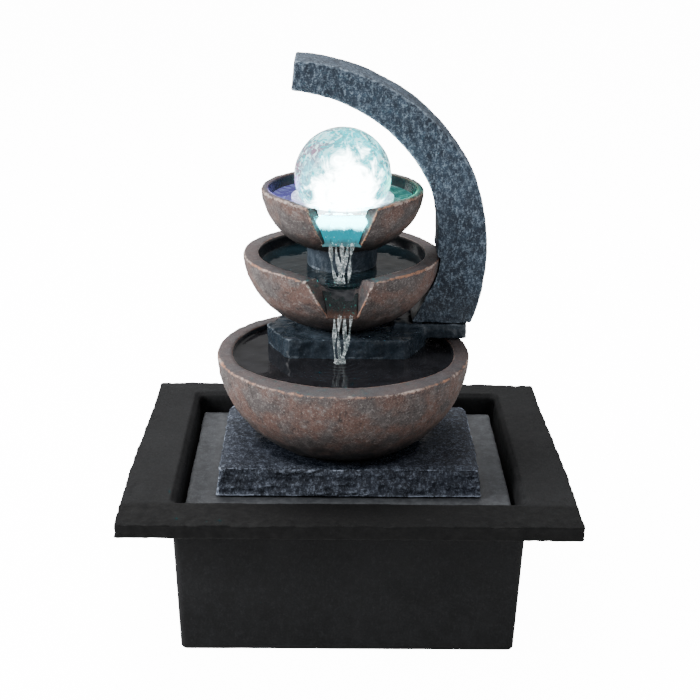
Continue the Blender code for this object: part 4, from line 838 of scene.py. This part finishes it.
def forward(points, bowl, low, high):
    """0 where a point is forward of the axis by a share low of the radius, and 1 at high."""
    return step(bowl["y"] - points[:, 1], bowl["radius"] * low, bowl["radius"] * high)


def wetted_side(points, normals, bowl):
    """1 on the inside of a bowl, 0 on its lip and its outside."""
    away, radius = from_axis(points, bowl)
    inward = -(away * normals[:, :2]).sum(axis=1) / np.maximum(radius, 1e-6)
    floor = np.maximum(normals[:, 2], 0) * (radius < bowl["radius"] - bowl["wall"])
    within = step(bowl["radius"] - bowl["wall"] * 0.6 - radius, 0.0, 0.001)
    lip = step(normals[:, 2], 0.75, 0.9) * step(points[:, 2], bowl["lip"] - 0.002, bowl["lip"] - 0.001)
    return step(inward + floor, 0.25, 0.6) * within * (1 - lip)


def dip_lip(points, bowl):
    """The lip sinks a little towards its notch."""
    aside = np.abs(points[:, 0] - MIDDLE_SPOUT["x"][LIP])
    dip = (1 - step(aside, 0.010, 0.030)) * forward(points, bowl, 0.45, 0.95)
    points[:, 2] -= 0.0022 * dip * step(points[:, 2], bowl["lip"] - 0.007, bowl["lip"])


def widen_lip(points, bowl, radius):
    """The inner edge of the lip is drawn inward in front."""
    inner = step(bowl["radius"] - bowl["wall"] * 0.5 - radius, 0.0, bowl["wall"] * 0.4)
    high = step(points[:, 2], bowl["lip"] - 0.012, bowl["lip"] - 0.004)
    pull = LIP_EXTRA * forward(points, bowl, 0.30, 0.88) * inner * high / np.maximum(radius, 0.02)
    points[:, :2] -= from_axis(points, bowl)[0] * pull[:, None]


print("the front lip is broader by", round(LIP_EXTRA / MM, 1), "mm")

# %% [markdown]
# Slow waves, lumps and grain go over each bowl. Then four numbers are painted for the finish:
# `edge` where the paint is rubbed off, `low` for the painted shade that darkens the bowl towards its
# foot, `wet` inside and in the notch, and `lip` on the flat of the lip.


# %% Weather the bowls
LIP_BAND = 0.004            # every depth below this counts as this


def notch_layers(points, bowl, notch, out_gap):
    """The rubbed edges round a notch, and the water on its cheeks and its chute."""
    depth = bowl["lip"] - points[:, 2]
    share = np.clip(depth / notch["drop"], 0, 1)
    x, outer, inner = (at_depth(notch, key, share) for key in ("x", "out", "in"))
    side = np.abs(points[:, 0] - x)
    front = (points[:, 1] < bowl["y"] - 0.3 * bowl["radius"]) * (depth < notch["drop"] + 0.0015)
    below = near(np.maximum(depth - notch["drop"], 0), 0.0005)
    edge = 1.3 * near(side - outer, 0.0007) * near(out_gap, 0.0010) * below
    edge += (0.8 * near(depth - notch["drop"], 0.0006) * (side < outer + 0.0003)
             * near(out_gap, 0.0012))
    edge += 1.1 * near(side - inner, 0.0006) * near(np.minimum(depth, LIP_BAND), 0.0014)
    cheek = (front * (side < outer - 0.0002) * step(-out_gap, 0.0004, 0.0010)
             * step(depth, 0.0002, 0.0008))
    return front * edge, cheek * np.where(side > inner - 0.0016, 0.55, 1.0)


def weather_bowl(obj, bowl, node, seed, notch):
    points, normals = read(obj)
    radius = from_axis(points, bowl)[1]
    wet = wetted_side(points, normals, bowl)
    waves = field(points, 19, 2, seed=seed)
    grain = field(points, 2.4, 3, seed=seed + 1)
    lumps = field(points, 6, 3, seed=seed + 2)
    push = 0.00028 * waves + 0.00020 * lumps + 0.00013 * grain - 0.00038
    points = points + normals * (push * (1 - 0.6 * wet))[:, None]
    brim = bowl["radius"] - bowl["wall"]
    if notch:
        dip_lip(points, bowl)
        points = write_inside(obj, points, node)
    else:
        widen_lip(points, bowl, radius)
        radius = from_axis(points, bowl)[1]
        points = write_inside(obj, points, node)
        brim = brim - LIP_EXTRA * forward(points, bowl, 0.30, 0.88)
    depth = bowl["lip"] - points[:, 2]
    # painted shade, strongest at the foot and gone a little over halfway up
    low = 1 - step((points[:, 2] - bowl["foot"]) / bowl["height"] + 0.10 * lumps, 0.06, 0.58)
    out_gap = radius - bowl["radius"] * np.sqrt(1 - np.clip(depth / bowl["swell"], 0, 0.999) ** 2)
    at_lip = near(np.minimum(depth, LIP_BAND), 0.0010)
    edge = sharpness(obj) + 0.6 * near(radius - brim, 0.0006) * at_lip
    edge += 0.85 * near(radius - bowl["radius"], 0.0006) * at_lip * (0.6 + 0.7 * lumps)
    if notch:
        notch_edge, notch_wet = notch_layers(points, bowl, notch, out_gap)
        edge += notch_edge
        wet = np.maximum(wet, notch_wet)
    lip = step(normals[:, 2], 0.7, 0.9) * (depth < 0.003) * (radius > brim - 0.0005)
    links = neighbours(obj)
    paint(obj, edge=edge, low=low, wet=soften(wet, links, 2), lip=soften(lip, links, 1))
    return obj


print("layers painted on each bowl: edge, low, wet, lip")

# %% [markdown]
# The lower bowl has no notch in front. A shallow weir behind lets its water back into the tub, and
# it is cut with a block before the skin, which then rounds its edges. A notch is cut after the
# skin, so that its cheeks keep the crisp edges that catch the copper paint.


# %% Cast the bowls
WEIR_SIZE = (0.014, 0.020, 0.0095, 1)
WEIR_DROP = 0.00075


def make_bowl(name, node, bowl, voxel, seed, notch=None):
    obj = turned(name, bowl_profile(bowl), (bowl["x"], bowl["y"]), steps=144)
    if notch:
        reskin(obj, voxel, smoothing=1)
        carve(obj, wedge(bowl, notch))
        obj.data.shade_smooth()
    else:
        bpy.ops.mesh.primitive_cube_add(size=1.0)
        weir = bpy.context.object
        place = (bowl["x"], bowl["y"] + bowl["radius"], bowl["lip"] - WEIR_DROP)
        weir.data.transform(Matrix.Translation(place) @ Matrix.Diagonal(WEIR_SIZE))
        carve(obj, weir)
        reskin(obj, voxel, smoothing=2)
    return weather_bowl(obj, bowl, node, seed, notch)


for node, bowl, voxel, seed, notch in (
        ("lower_bowl", LOWER_BOWL, 0.8, 31, None), ("middle_bowl", MIDDLE_BOWL, 0.7, 41, MIDDLE_SPOUT),
        ("upper_bowl", UPPER_BOWL, 0.62, 51, UPPER_SPOUT)):
    casting = make_bowl(node + "_casting", node, bowl, voxel, seed, notch)
    dress(casting, "stonework", BRONZE, "bronze_resin", node)


# %% [markdown]
# ## Rock, pedestal and crescent
# The dark rock stands in the lower bowl and carries the middle one, and its shoulder grips the
# bowl's lip under the crescent. These three are copies of their packed solids, since those already
# fit their neighbours, with an even skin and a coarse broken relief. A stone is wet up to a little
# above the lower bowl's lip, and a pale line of painted highlight marks where it stands in a pool.


# %% Rock and pedestal
LOWER_LEVEL = LOWER_BOWL["lip"] - 0.0034
MIDDLE_LEVEL = MIDDLE_BOWL["lip"] - 0.0066
UPPER_LEVEL = UPPER_BOWL["lip"] - 0.0062


def rough_stone(node, name, depth, seed, waterline):
    obj = reskin(copy_of(node, name), 0.8, smoothing=2)
    points, normals = read(obj)
    push = (0.6 * field(points, 12, 4, seed=seed) + 0.45 * field(points, 4.5, 3, seed=seed + 1)
            + 0.18 * field(points, 2, 2, seed=seed + 2) - 0.55)
    push = np.minimum(push, 0.1) * depth * MM
    points = write_inside(obj, points + normals * push[:, None], node)
    soaked = 0.7 * (1 - step(points[:, 2], LOWER_BOWL["lip"] + 0.004, LOWER_BOWL["lip"] + 0.008))
    patches = step(field(points, 9, 2, seed=seed + 3), 0.0, 0.5)
    # painted highlight: a pale broken line just above the waterline, carried in the edge layer
    waterline_glint = near(points[:, 2] - waterline - 0.0006, 0.0006) * patches
    paint(obj, edge=sharpness(obj) + 1.5 * waterline_glint, wet=soaked)
    dress(obj, "stonework", ROCK_LOOK, "dark_rock", node)


rough_stone("pedestal_rock", "rock_casting", 0.9, 61, LOWER_LEVEL)
rough_stone("upper_pedestal", "upper_pedestal_casting", 0.6, 66, MIDDLE_LEVEL)

# %% [markdown]
# The crescent's face is stippled more strongly in front than on its edges, and darker and glossier
# towards its foot.

# %% Crescent
arch = reskin(copy_of("crescent_arch", "crescent_casting"), 0.75, smoothing=2)
points, normals = read(arch)
front = step(-normals[:, 1], 0.5, 0.9)
broad = field(points, 17, 3, seed=71)
grit = field(points, 3.2, 3, seed=72)
fine = field(points, 1.7, 2, seed=73)
push = 0.00025 * broad + (0.00012 + 0.00016 * front) * grit + 0.00008 * fine - 0.0003
points = write_inside(arch, points + normals * push[:, None], "crescent_arch")
# darker and glossier towards the foot, held in the wet layer
darker_near_foot = 0.55 * (1 - step(points[:, 2] + 0.004 * broad, 0.140, 0.162))
paint(arch, edge=sharpness(arch), wet=darker_near_foot)
dress(arch, "stonework", ARCH_LOOK, "arch_slate", "crescent_arch")

# %% [markdown]
# ## The ball and its cup
# The ball is cast crystal full of cracks, lit from below, so it glows white at its heart and
# breaks up into cyan and lilac patches towards its skin. It is a fine sphere with shallow dents,
# and the cracks are borders between cells of noise that colour the glow and mark its relief.


# %% Crystal
def ball_glow():
    look = Look("crackled_crystal", Roughness=0.06, IOR=1.35, Specular_IOR_Level=0.6)
    heart = BALL_CENTRE + Vector((0.002, -0.6 * BALL_RADIUS, -0.30 * BALL_RADIUS))
    dx, dy, dz = ((look.axis(letter) - middle) / BALL_RADIUS for letter, middle in zip("XYZ", heart))
    wander = look.noise(8, detail=4, rough=0.65, twist=0.8)
    away = (dx * dx * 1.5 + dy * dy + dz * dz * 0.8) ** 0.5 + (wander - 0.5) * 1.3
    core = away.between(0.98, 0.55)
    halo = away.between(1.35, 0.6)
    crack = look.cracks(6.5).between(0.06, 0.0) * look.noise(7, shift=2.0).between(0.4, 0.6)
    patch = look.noise(8.0, detail=4, rough=0.62, twist=1.3, shift=3.0)
    grey = look.mix(patch.between(0.35, 0.60), (0.13, 0.27, 0.31), (0.42, 0.72, 0.78))
    color = look.mix(patch.between(0.47, 0.54), grey, (0.01, 0.95, 1.05))
    color = look.mix(patch.between(0.56, 0.61), color, (1.3, 2.2, 2.3))
    left = dx.between(-0.15, -0.55) * dz.between(-0.5, 0.1)
    color = look.mix((left * patch.between(0.56, 0.44)).clamped(), color, (0.66, 0.42, 0.62))
    bright = look.noise(2.4, detail=3, twist=1.0, shift=8.0)
    color = look.mix(bright.between(0.55, 0.61), color, (1.8, 2.6, 2.7))
    color = look.mix((crack * 0.8).clamped(), color, (1.0, 2.1, 2.2))
    color = look.mix(halo * 0.75, color, (0.05, 3.4, 3.9))
    color = look.mix(core, color, (16.0, 18.0, 18.0))
    look.set(Base_Color=(0.02, 0.03, 0.03), Emission_Color=color, Emission_Strength=1.0)
    look.bump(crack + patch * 0.5, 0.35, 0.6)
    return look.material


shape = bmesh.new()
bmesh.ops.create_icosphere(shape, subdivisions=6, radius=BALL_RADIUS)
crackle_ball = mesh_of("crackle_ball", shape)
crackle_ball.data.transform(Matrix.Translation(BALL_CENTRE))
crackle_ball.data.shade_smooth()
points, normals = read(crackle_ball)
dents = 0.00012 * field(points, 8, 3, seed=81) - 0.00018 * step(field(points, 5, 2, seed=82), 0.2, 0.5)
write_inside(crackle_ball, points + normals * (dents - 0.0001)[:, None], "crystal_ball")
dress(crackle_ball, "ball", ball_glow(), "crystal", "crystal_ball")

# %% [markdown]
# The cup is a clear flared ring. It is turned from a profile that follows the ball inside, and its
# wall stands nearly upright outside. It shows as a bright skirt beside the ball by painted glow in its
# emission colour: lilac on the left, cyan and blue to the right, and a bright blaze in front.

# %% Cup
seat_low, seat_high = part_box("ball_seat")
seat_radius = (seat_high.x - seat_low.x) / 2
CUP_GAP = 0.00045           # room for the film of water that the ball floats on
room = BALL_RADIUS + CUP_GAP
hole = BALL_RADIUS - 0.0073
top, foot = seat_high.z, seat_low.z
lowest = BALL_CENTRE.z - math.sqrt(room ** 2 - hole ** 2)
inner = [(math.sqrt(room ** 2 - (BALL_CENTRE.z - z) ** 2), z)
         for z in np.linspace(lowest, top - 0.0004, 12)]
outer = [(seat_radius - 0.0003, top), (seat_radius, top - 0.0006), (seat_radius - 0.0006, top - 0.004),
         (seat_radius - 0.0026, top - 0.009), (BALL_RADIUS - 0.0045, foot), (hole, foot)]
cup = turned("clear_cup", outer + inner + outer[:1], BALL_CENTRE, steps=128)
reskin(cup, 0.5, smoothing=1)
points, normals = read(cup)
push = 0.0001 * field(points, 6, 2, seed=85) - 0.00012
write_inside(cup, points + normals * push[:, None], "ball_seat")


def cup_look():
    look = Look("lit_cup", Roughness=0.12, IOR=1.4, Transmission_Weight=0.25)
    x = look.axis("X") - BALL_CENTRE.x
    patch = look.noise(6, detail=3, rough=0.6, twist=0.8)
    # painted glow: lilac on the left, cyan and blue to the right, brighter in patches, and a blaze in
    # front
    painted_cup_glow = look.mix(x.between(-0.016, -0.004), (0.50, 0.42, 0.72), (0.35, 0.85, 0.90))
    painted_cup_glow = look.mix(x.between(0.010, 0.020), painted_cup_glow, (0.46, 0.62, 0.86))
    painted_cup_glow = look.mix(patch.between(0.46, 0.58), painted_cup_glow, (1.2, 1.4, 1.6))
    front = x.between(0.019, 0.011) * x.between(-0.019, -0.011)
    front = front * (look.axis("Y") - BALL_CENTRE.y).between(-0.006, -0.014)
    blaze = look.mix(patch.between(0.35, 0.5), (1.0, 6.5, 7.0), (14.0, 17.0, 17.0))
    painted_cup_glow = look.mix(front, painted_cup_glow, blaze)
    look.set(Base_Color=(0.4, 0.45, 0.5), Emission_Color=painted_cup_glow, Emission_Strength=1.0)
    look.bump(patch, 0.25, 0.5)
    return look.material


dress(cup, "stonework", cup_look(), "clear_plastic", "ball_seat")

# %% [markdown]
# ## Water
# Water in a dark bowl shows by what it mirrors, so each pool is a disc of fine rings with real
# ripples: circles that run out from where the stream lands, and slow swells from the pump. It is
# dark and very smooth. The upper pool's light from below, violet on the left and green on the right,
# is painted glow in its emission colour.


# %% Water finishes
def dark_water(name, color, glow=None):
    look = Look(name, Roughness=0.04, IOR=1.33, Coat_Roughness=0.02, Specular_IOR_Level=0.6)
    cloud = look.noise(14, detail=3, twist=0.5)
    look.set(Base_Color=look.mix(cloud.between(0.3, 0.7), tuple(0.5 * c for c in color), color))
    if glow:
        # painted glow from the lamp under the ball: violet on the left, green on the right, in swirls
        side = (look.axis("X") - BALL_CENTRE.x).between(-0.006, 0.006)
        swirl = look.noise(5, detail=3, twist=1.0, shift=6.0).between(0.45, 0.7)
        deep = look.mix(side, (0.10, 0.09, 0.33), (0.01, 0.16, 0.12))
        pale = look.mix(side, (0.28, 0.35, 0.75), (0.10, 0.45, 0.35))
        look.set(Emission_Color=look.mix(swirl, deep, pale), Emission_Strength=glow)
    look.bump(look.noise(4, detail=2, twist=0.4), 0.12, 0.6)
    return look.material


POOL = dark_water("dark_pool", (0.022, 0.022, 0.026))
TEAL_POOL = dark_water("teal_pool", (0.012, 0.026, 0.034))
LIT_POOL = dark_water("lit_pool", (0.03, 0.03, 0.06), glow=0.9)
print("pool looks:", [m.name for m in (POOL, TEAL_POOL, LIT_POOL)])

# %% [markdown]
# Each pool is a disc of rings and spokes about its bowl's axis, with its points close enough for
# the ripples to look round. It ends a little inside the bowl's wall, so no gap shows between them.


# %% Pools
POOL_RINGS, POOL_SPOKES = 70, 160
INTO_WALL = 0.0004
RIPPLE = 0.0019             # from a crest to the next trough


def make_pool(name, bowl, level, look, landing=None, hole=0.0):
    """A rippled disc that fills a bowl to a level, and creeps up its wall."""
    deep = bowl["height"] - bowl["floor"]
    reach = (bowl["radius"] - bowl["wall"]) * math.sqrt(1 - ((bowl["lip"] - level) / deep) ** 2)
    reach += INTO_WALL
    angles = 2 * math.pi * np.arange(POOL_SPOKES) / POOL_SPOKES
    points = [(bowl["x"] + r * math.cos(angle), bowl["y"] + r * math.sin(angle), level)
              for r in np.linspace(max(hole, 0.0005), reach, POOL_RINGS) for angle in angles]
    middle = [] if hole else [tuple(range(POOL_SPOKES))]
    obj = add_mesh(name, points, ring_quads(POOL_RINGS, POOL_SPOKES) + middle)
    obj.data.shade_smooth()
    points = read(obj)[0]
    lift = 0.00014 * field(points, 9, 2, seed=91)
    if landing:
        away = np.hypot(points[:, 0] - landing[0], points[:, 1] - landing[1])
        lift += 0.00045 * np.cos(away / RIPPLE * math.pi) * np.exp(-away / 0.0085)
    from_wall = reach - from_axis(points, bowl)[1]
    points[:, 2] += lift + 0.0006 * np.exp(-from_wall / 0.0007)
    write(obj, points)
    dress(obj, "stonework", look, "clear_plastic")


UPPER_LANDING = (UPPER_SPOUT["x"][FOOT], 0.0002)
LOWER_LANDING = (MIDDLE_SPOUT["x"][FOOT] - 0.0008, -0.0040)
make_pool("lower_water", LOWER_BOWL, LOWER_LEVEL, POOL, LOWER_LANDING)
make_pool("middle_water", MIDDLE_BOWL, MIDDLE_LEVEL, TEAL_POOL, UPPER_LANDING)
make_pool("upper_water", UPPER_BOWL, UPPER_LEVEL, LIT_POOL, hole=seat_radius - 0.001)

# %% [markdown]
# A falling stream is a few ropes of water that twist, thin out and pinch. Each rope is a row of
# small spheres along a bent line; a voxel skin melts them together into one smooth clear body.
# Loose drops and froth at the foot are part of the same body. Its white gleam is painted highlight, laid
# into the emission colour.


# %% Streams
def clear_water():
    look = Look("falling_water", Roughness=0.03, IOR=1.33, Transmission_Weight=0.9,
                Specular_IOR_Level=0.7, Emission_Strength=0.8)
    froth = look.noise(1.6, detail=3, rough=0.7)
    body = look.mix(froth.between(0.35, 0.6), (0.75, 0.80, 0.82), (1.0, 1.0, 1.0))
    # painted highlight: a white gleam in the emission colour where the froth noise is high
    gleam = look.mix(froth.between(0.52, 0.66), (0.02, 0.03, 0.03), (0.75, 0.82, 0.84))
    look.set(Base_Color=body, Emission_Color=gleam)
    look.bump(froth, 0.12, 0.5)
    return look.material


FALLING = clear_water()


ROPE_DROPS = 30
ROPE_TOP, ROPE_FOOT = 0.00105, 0.00075      # its radius where it leaves and where it lands
SWAY = 0.0006


def drop(shape, place, radius):
    bmesh.ops.create_icosphere(shape, subdivisions=2, radius=radius,
                               matrix=Matrix.Translation(place))


def drop_row(shape, start, end, seed):
    """A rope of water: small spheres along a bent line, thinning and pinching as it falls."""
    start, end = Vector(start), Vector(end)
    for i in range(ROPE_DROPS + 1):
        t = i / ROPE_DROPS
        bend = 0.6 * t + 0.4 * t * t
        place = start.lerp(end, bend)
        place.z = start.z + (end.z - start.z) * t
        place.x += SWAY * math.sin(4.5 * t + seed) * (0.3 + 0.7 * t)
        place.y += 0.4 * SWAY * math.cos(3.7 * t + 1.3 * seed)
        pinch = 0.8 + 0.35 * math.sin(9 * t + 2.1 * seed)
        drop(shape, place, (ROPE_TOP + (ROPE_FOOT - ROPE_TOP) * t) * pinch)


def make_stream(name, spout, landing, ropes, half_width, froth, seed):
    """Ropes side by side from a spout to where they land, and froth around that point."""
    shape = bmesh.new()
    random = np.random.default_rng(seed)
    for i in range(ropes):
        across = (i / (ropes - 1) * 2 - 1) * half_width
        start = (spout[0] + across, spout[1] + 0.0008, spout[2] + 0.0004)
        end = (landing[0] + across * 0.45 + random.uniform(-0.0006, 0.0006),
               landing[1] + random.uniform(-0.0008, 0.0008), landing[2] - 0.0003)
        drop_row(shape, start, end, seed + 1.7 * i)
    for _ in range(froth):
        angle, far = random.uniform(0, 2 * math.pi), random.uniform(0.0002, 0.0034)
        place = Vector((landing[0] + far * math.cos(angle), landing[1] + far * math.sin(angle),
                        landing[2] + random.uniform(0.0, 0.0016) * (1 - far / 0.004)))
        drop(shape, place, random.uniform(0.0005, 0.0010))
    melted = reskin(mesh_of(name, shape), 0.32, smoothing=2)
    dress(melted, "stonework", FALLING, "clear_plastic")


def spout_lip(bowl, spout):
    """Where water leaves a notch: on the bowl's outside, at the notch's foot."""
    radius = bowl["radius"] * math.sqrt(1 - (spout["drop"] / bowl["swell"]) ** 2)
    return (spout["x"][FOOT], bowl["y"] - radius, bowl["lip"] - spout["drop"])


make_stream("upper_stream", spout_lip(UPPER_BOWL, UPPER_SPOUT), (*UPPER_LANDING, MIDDLE_LEVEL),
            ropes=5, half_width=0.0052, froth=22, seed=3)
make_stream("lower_stream", spout_lip(MIDDLE_BOWL, MIDDLE_SPOUT), (*LOWER_LANDING, LOWER_LEVEL),
            ropes=4, half_width=0.0040, froth=34, seed=8)

# %% [markdown]
# Water also slides down inside each notch before it falls. That film is a bent sheet between the
# cheeks: level with the pool behind, curling over and down to the spout's lip. Its colours are painted
# glow and glints in its emission: bright cyan-white at the upper film's brink, faint teal and green
# below.


# %% Films in the notches
def film_look(name, glow_colors, strength, z_top, z_foot):
    """Painted glow colours run from the brink to the foot, with painted glints; streaks follow the fall.
    """
    look = Look(name, Roughness=0.05, IOR=1.33, Specular_IOR_Level=0.6, Transmission_Weight=0.2,
                Emission_Strength=strength)
    height = (look.axis("Z") - z_foot) / (z_top - z_foot)
    streak = look.noise(2.6, detail=5, rough=0.7, twist=1.6, stretch=(1.0, 0.5, 0.45))
    fine = look.noise(1.1, detail=3, rough=0.7, twist=0.8, shift=4.0)
    run = height + (streak - 0.5) * 0.55
    top, body, foot, spark = glow_colors
    color = look.mix(run.between(0.05, 0.35), foot, body)
    color = look.mix(run.between(0.68, 0.98), color, top)
    color = look.mix(streak.between(0.42, 0.30) * 0.7, color, tuple(0.2 * c for c in body))
    glint = fine.between(0.60, 0.68) * streak.between(0.45, 0.6)
    color = look.mix(glint.clamped(), color, spark)
    look.set(Base_Color=look.mix(0.5, (0, 0, 0), color), Emission_Color=color)
    look.bump(streak + fine * 0.4, 0.5, 0.7)
    return look.material


FILM_COLUMNS, FILM_ROWS = 44, 60


def film_path(bowl, spout, level):
    """The film's side view, as (y, z): level with the pool, over the brink, down to the foot."""
    y_in = bowl["y"] - bowl["radius"] + bowl["wall"]
    brink_y = y_in + spout["chute"][LIP] + 0.0002
    chute_y = y_in + spout["chute"][FOOT]
    _, lip_y, foot_z = spout_lip(bowl, spout)
    guide = [(y_in + 0.0075, level), (brink_y + 0.0024, level), (brink_y + 0.0006, level - 0.0008),
             (brink_y - 0.0002, level - 0.0026), (chute_y - 0.0007, foot_z + 0.0012),
             (lip_y + 0.0006, foot_z + 0.0006), (lip_y + 0.0002, foot_z + 0.0001)]
    run = np.concatenate([[0], np.cumsum([math.dist(a, b) for a, b in zip(guide, guide[1:])])])
    places = np.linspace(0, run[-1], FILM_ROWS + 1)
    return zip(*(np.interp(places, run, values).tolist() for values in zip(*guide)))


def make_film(name, bowl, spout, level, look):
    """A sheet of water between the cheeks of a notch, as thick as a film."""
    points = []
    for y, z in film_path(bowl, spout, level):
        depth = min(max(bowl["lip"] - z, 0), spout["drop"])
        x, outer, inner, y_outer, y_inner = spout_level(bowl, spout, depth)
        reach = max(0.0, (y_inner - y) / (y_inner - y_outer)) if y_inner > y_outer else 0.0
        half = inner + (outer - inner) * min(reach, 1.0) - 0.0001
        for across in np.linspace(-1, 1, FILM_COLUMNS + 1):
            points.append((x + across * half, y - 0.0005 * abs(across) ** 3, z))
    side = FILM_COLUMNS + 1
    faces = [(first + i, first + side + i, first + side + i + 1, first + i + 1)
             for first in range(0, FILM_ROWS * side, side) for i in range(FILM_COLUMNS)]
    obj = add_mesh(name, points, faces)
    points, normals = read(obj)
    points += normals * (0.00025 * field(points, 3.2, 3, seed=97, stretch=(1, 0.35, 0.35)))[:, None]
    write(obj, points)
    thick = obj.modifiers.new("thickness", "SOLIDIFY")
    thick.thickness = 0.0006
    settle(obj)
    obj.data.shade_smooth()
    dress(obj, "stonework", look, "clear_plastic")


# painted glow colours from the brink to the foot, and of a painted glint
LIT_FILM_GLOW = ((2.4, 5.6, 5.8), (0.004, 0.30, 0.38), (0.06, 0.15, 0.17), (0.4, 1.1, 1.1))
DARK_FILM_GLOW = ((0.006, 0.016, 0.018), (0.020, 0.026, 0.028), (0.085, 0.045, 0.034),
               (0.05, 0.32, 0.26))
upper_film = film_look("lit_film", LIT_FILM_GLOW, 0.9, UPPER_LEVEL - 0.004,
                       UPPER_BOWL["lip"] - UPPER_SPOUT["drop"])
make_film("upper_film", UPPER_BOWL, UPPER_SPOUT, UPPER_LEVEL, upper_film)
middle_film = film_look("dark_film", DARK_FILM_GLOW, 0.5, MIDDLE_LEVEL,
                        MIDDLE_BOWL["lip"] - MIDDLE_SPOUT["drop"])
make_film("middle_film", MIDDLE_BOWL, MIDDLE_SPOUT, MIDDLE_LEVEL, middle_film)

# %% [markdown]
# The lamp under the ball throws coloured light: violet to the left, green to the right, and cyan
# forward through the notch. Four small lamps do the same here, and ride with the stonework. The
# fourth hangs above the bowl's right edge, where it tints the inner side of the crescent.


# %% Light from the ball
ring = BALL_RADIUS + 0.006
x, y = BALL_CENTRE.xy
for name, place, color, watts in (
        ("violet_glow", (x - ring, y, UPPER_LEVEL + 0.006), (0.35, 0.3, 1.0), 0.012),
        ("green_glow", (x + ring, y, UPPER_LEVEL + 0.006), (0.1, 1.0, 0.6), 0.014),
        ("cyan_glow", (UPPER_SPOUT["x"][FOOT], y - ring - 0.004, UPPER_LEVEL + 0.002),
         (0.3, 0.95, 1.0), 0.010),
        ("green_side", (x + 0.036, y - 0.004, UPPER_BOWL["lip"] + 0.012), (0.2, 0.9, 0.75), 0.012)):
    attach(add_lamp(name, "POINT", place, watts, color, shadow_soft_size=0.006), "stonework")
    print(name, "rides with the stonework:", watts, "W")

# %% [markdown]
# ## Every other packed piece
# The pump, light, leads and pads keep their packed shapes. Each gets a moulded or metal finish by
# its slot: a faint mottling of the colour and the roughness, and a fine moulding texture.


# %% Small finishes
def plain(name, color, rough, grain=0.8, metallic=0.0, **sockets):
    look = Look(name, Metallic=metallic, **sockets)
    cloud = look.noise(4, detail=3)
    fine = look.noise(grain, detail=2, shift=4.0)
    look.set(Base_Color=look.mix(cloud.between(0.3, 0.7), tuple(0.8 * c for c in color), color),
             Roughness=(fine * 0.2 + (rough - 0.1)).clamped())
    look.bump(fine, 0.03, 0.5)
    return look.material


FINISHES = {
    "black_plastic": plain("black_moulding", (0.016, 0.016, 0.017), 0.45),
    "pump_plastic": plain("pump_moulding", (0.02, 0.021, 0.023), 0.5),
    "white_plastic": plain("white_moulding", (0.72, 0.72, 0.70), 0.42),
    "black_lead": plain("lead_jacket", (0.014, 0.014, 0.014), 0.5),
    "rubber": plain("soft_rubber", (0.02, 0.02, 0.02), 0.85),
    "plated_steel": plain("plated_steel", (0.6, 0.6, 0.61), 0.3, metallic=1.0),
    "copper": plain("wound_copper", (0.72, 0.33, 0.17), 0.35, metallic=1.0),
    "ferrite": plain("ferrite", (0.05, 0.05, 0.055), 0.55),
    "sponge": plain("open_sponge", (0.035, 0.035, 0.035), 0.95, grain=0.5),
    "circuit_board": plain("white_board", (0.75, 0.76, 0.72), 0.5),
    "ceramic": plain("ceramic", (0.82, 0.82, 0.80), 0.3),
    "epoxy": plain("potting_epoxy", (0.02, 0.02, 0.025), 0.25),
    "clear_tube": plain("clear_tube", (0.8, 0.85, 0.86), 0.2, Transmission_Weight=0.8, IOR=1.4),
    "clear_plastic": plain("clear_moulding", (0.85, 0.9, 0.92), 0.15, Transmission_Weight=0.8, IOR=1.45),
    "led_epoxy": plain("led_dome", (0.9, 0.97, 1.0), 0.15, Emission_Color=(0.75, 0.95, 1.0, 1),
                       Emission_Strength=6.0),
    "slate_black": RIM_LOOK, "slate_grey": TRAY_LOOK, "slate_blue": PLINTH_LOOK,
    "arch_slate": ARCH_LOOK, "bronze_resin": BRONZE, "dark_rock": ROCK_LOOK,
}
finished = 0
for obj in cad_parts.values():
    for held in obj.material_slots:
        key = held.material.name.split(".")[0] if held.material else ""
        if key in FINISHES:
            held.material = FINISHES[key]
            finished += 1
print("slots finished on packed pieces:", finished)

# %% [markdown]
# ## Size
# The finished model must not have grown past the packed one.
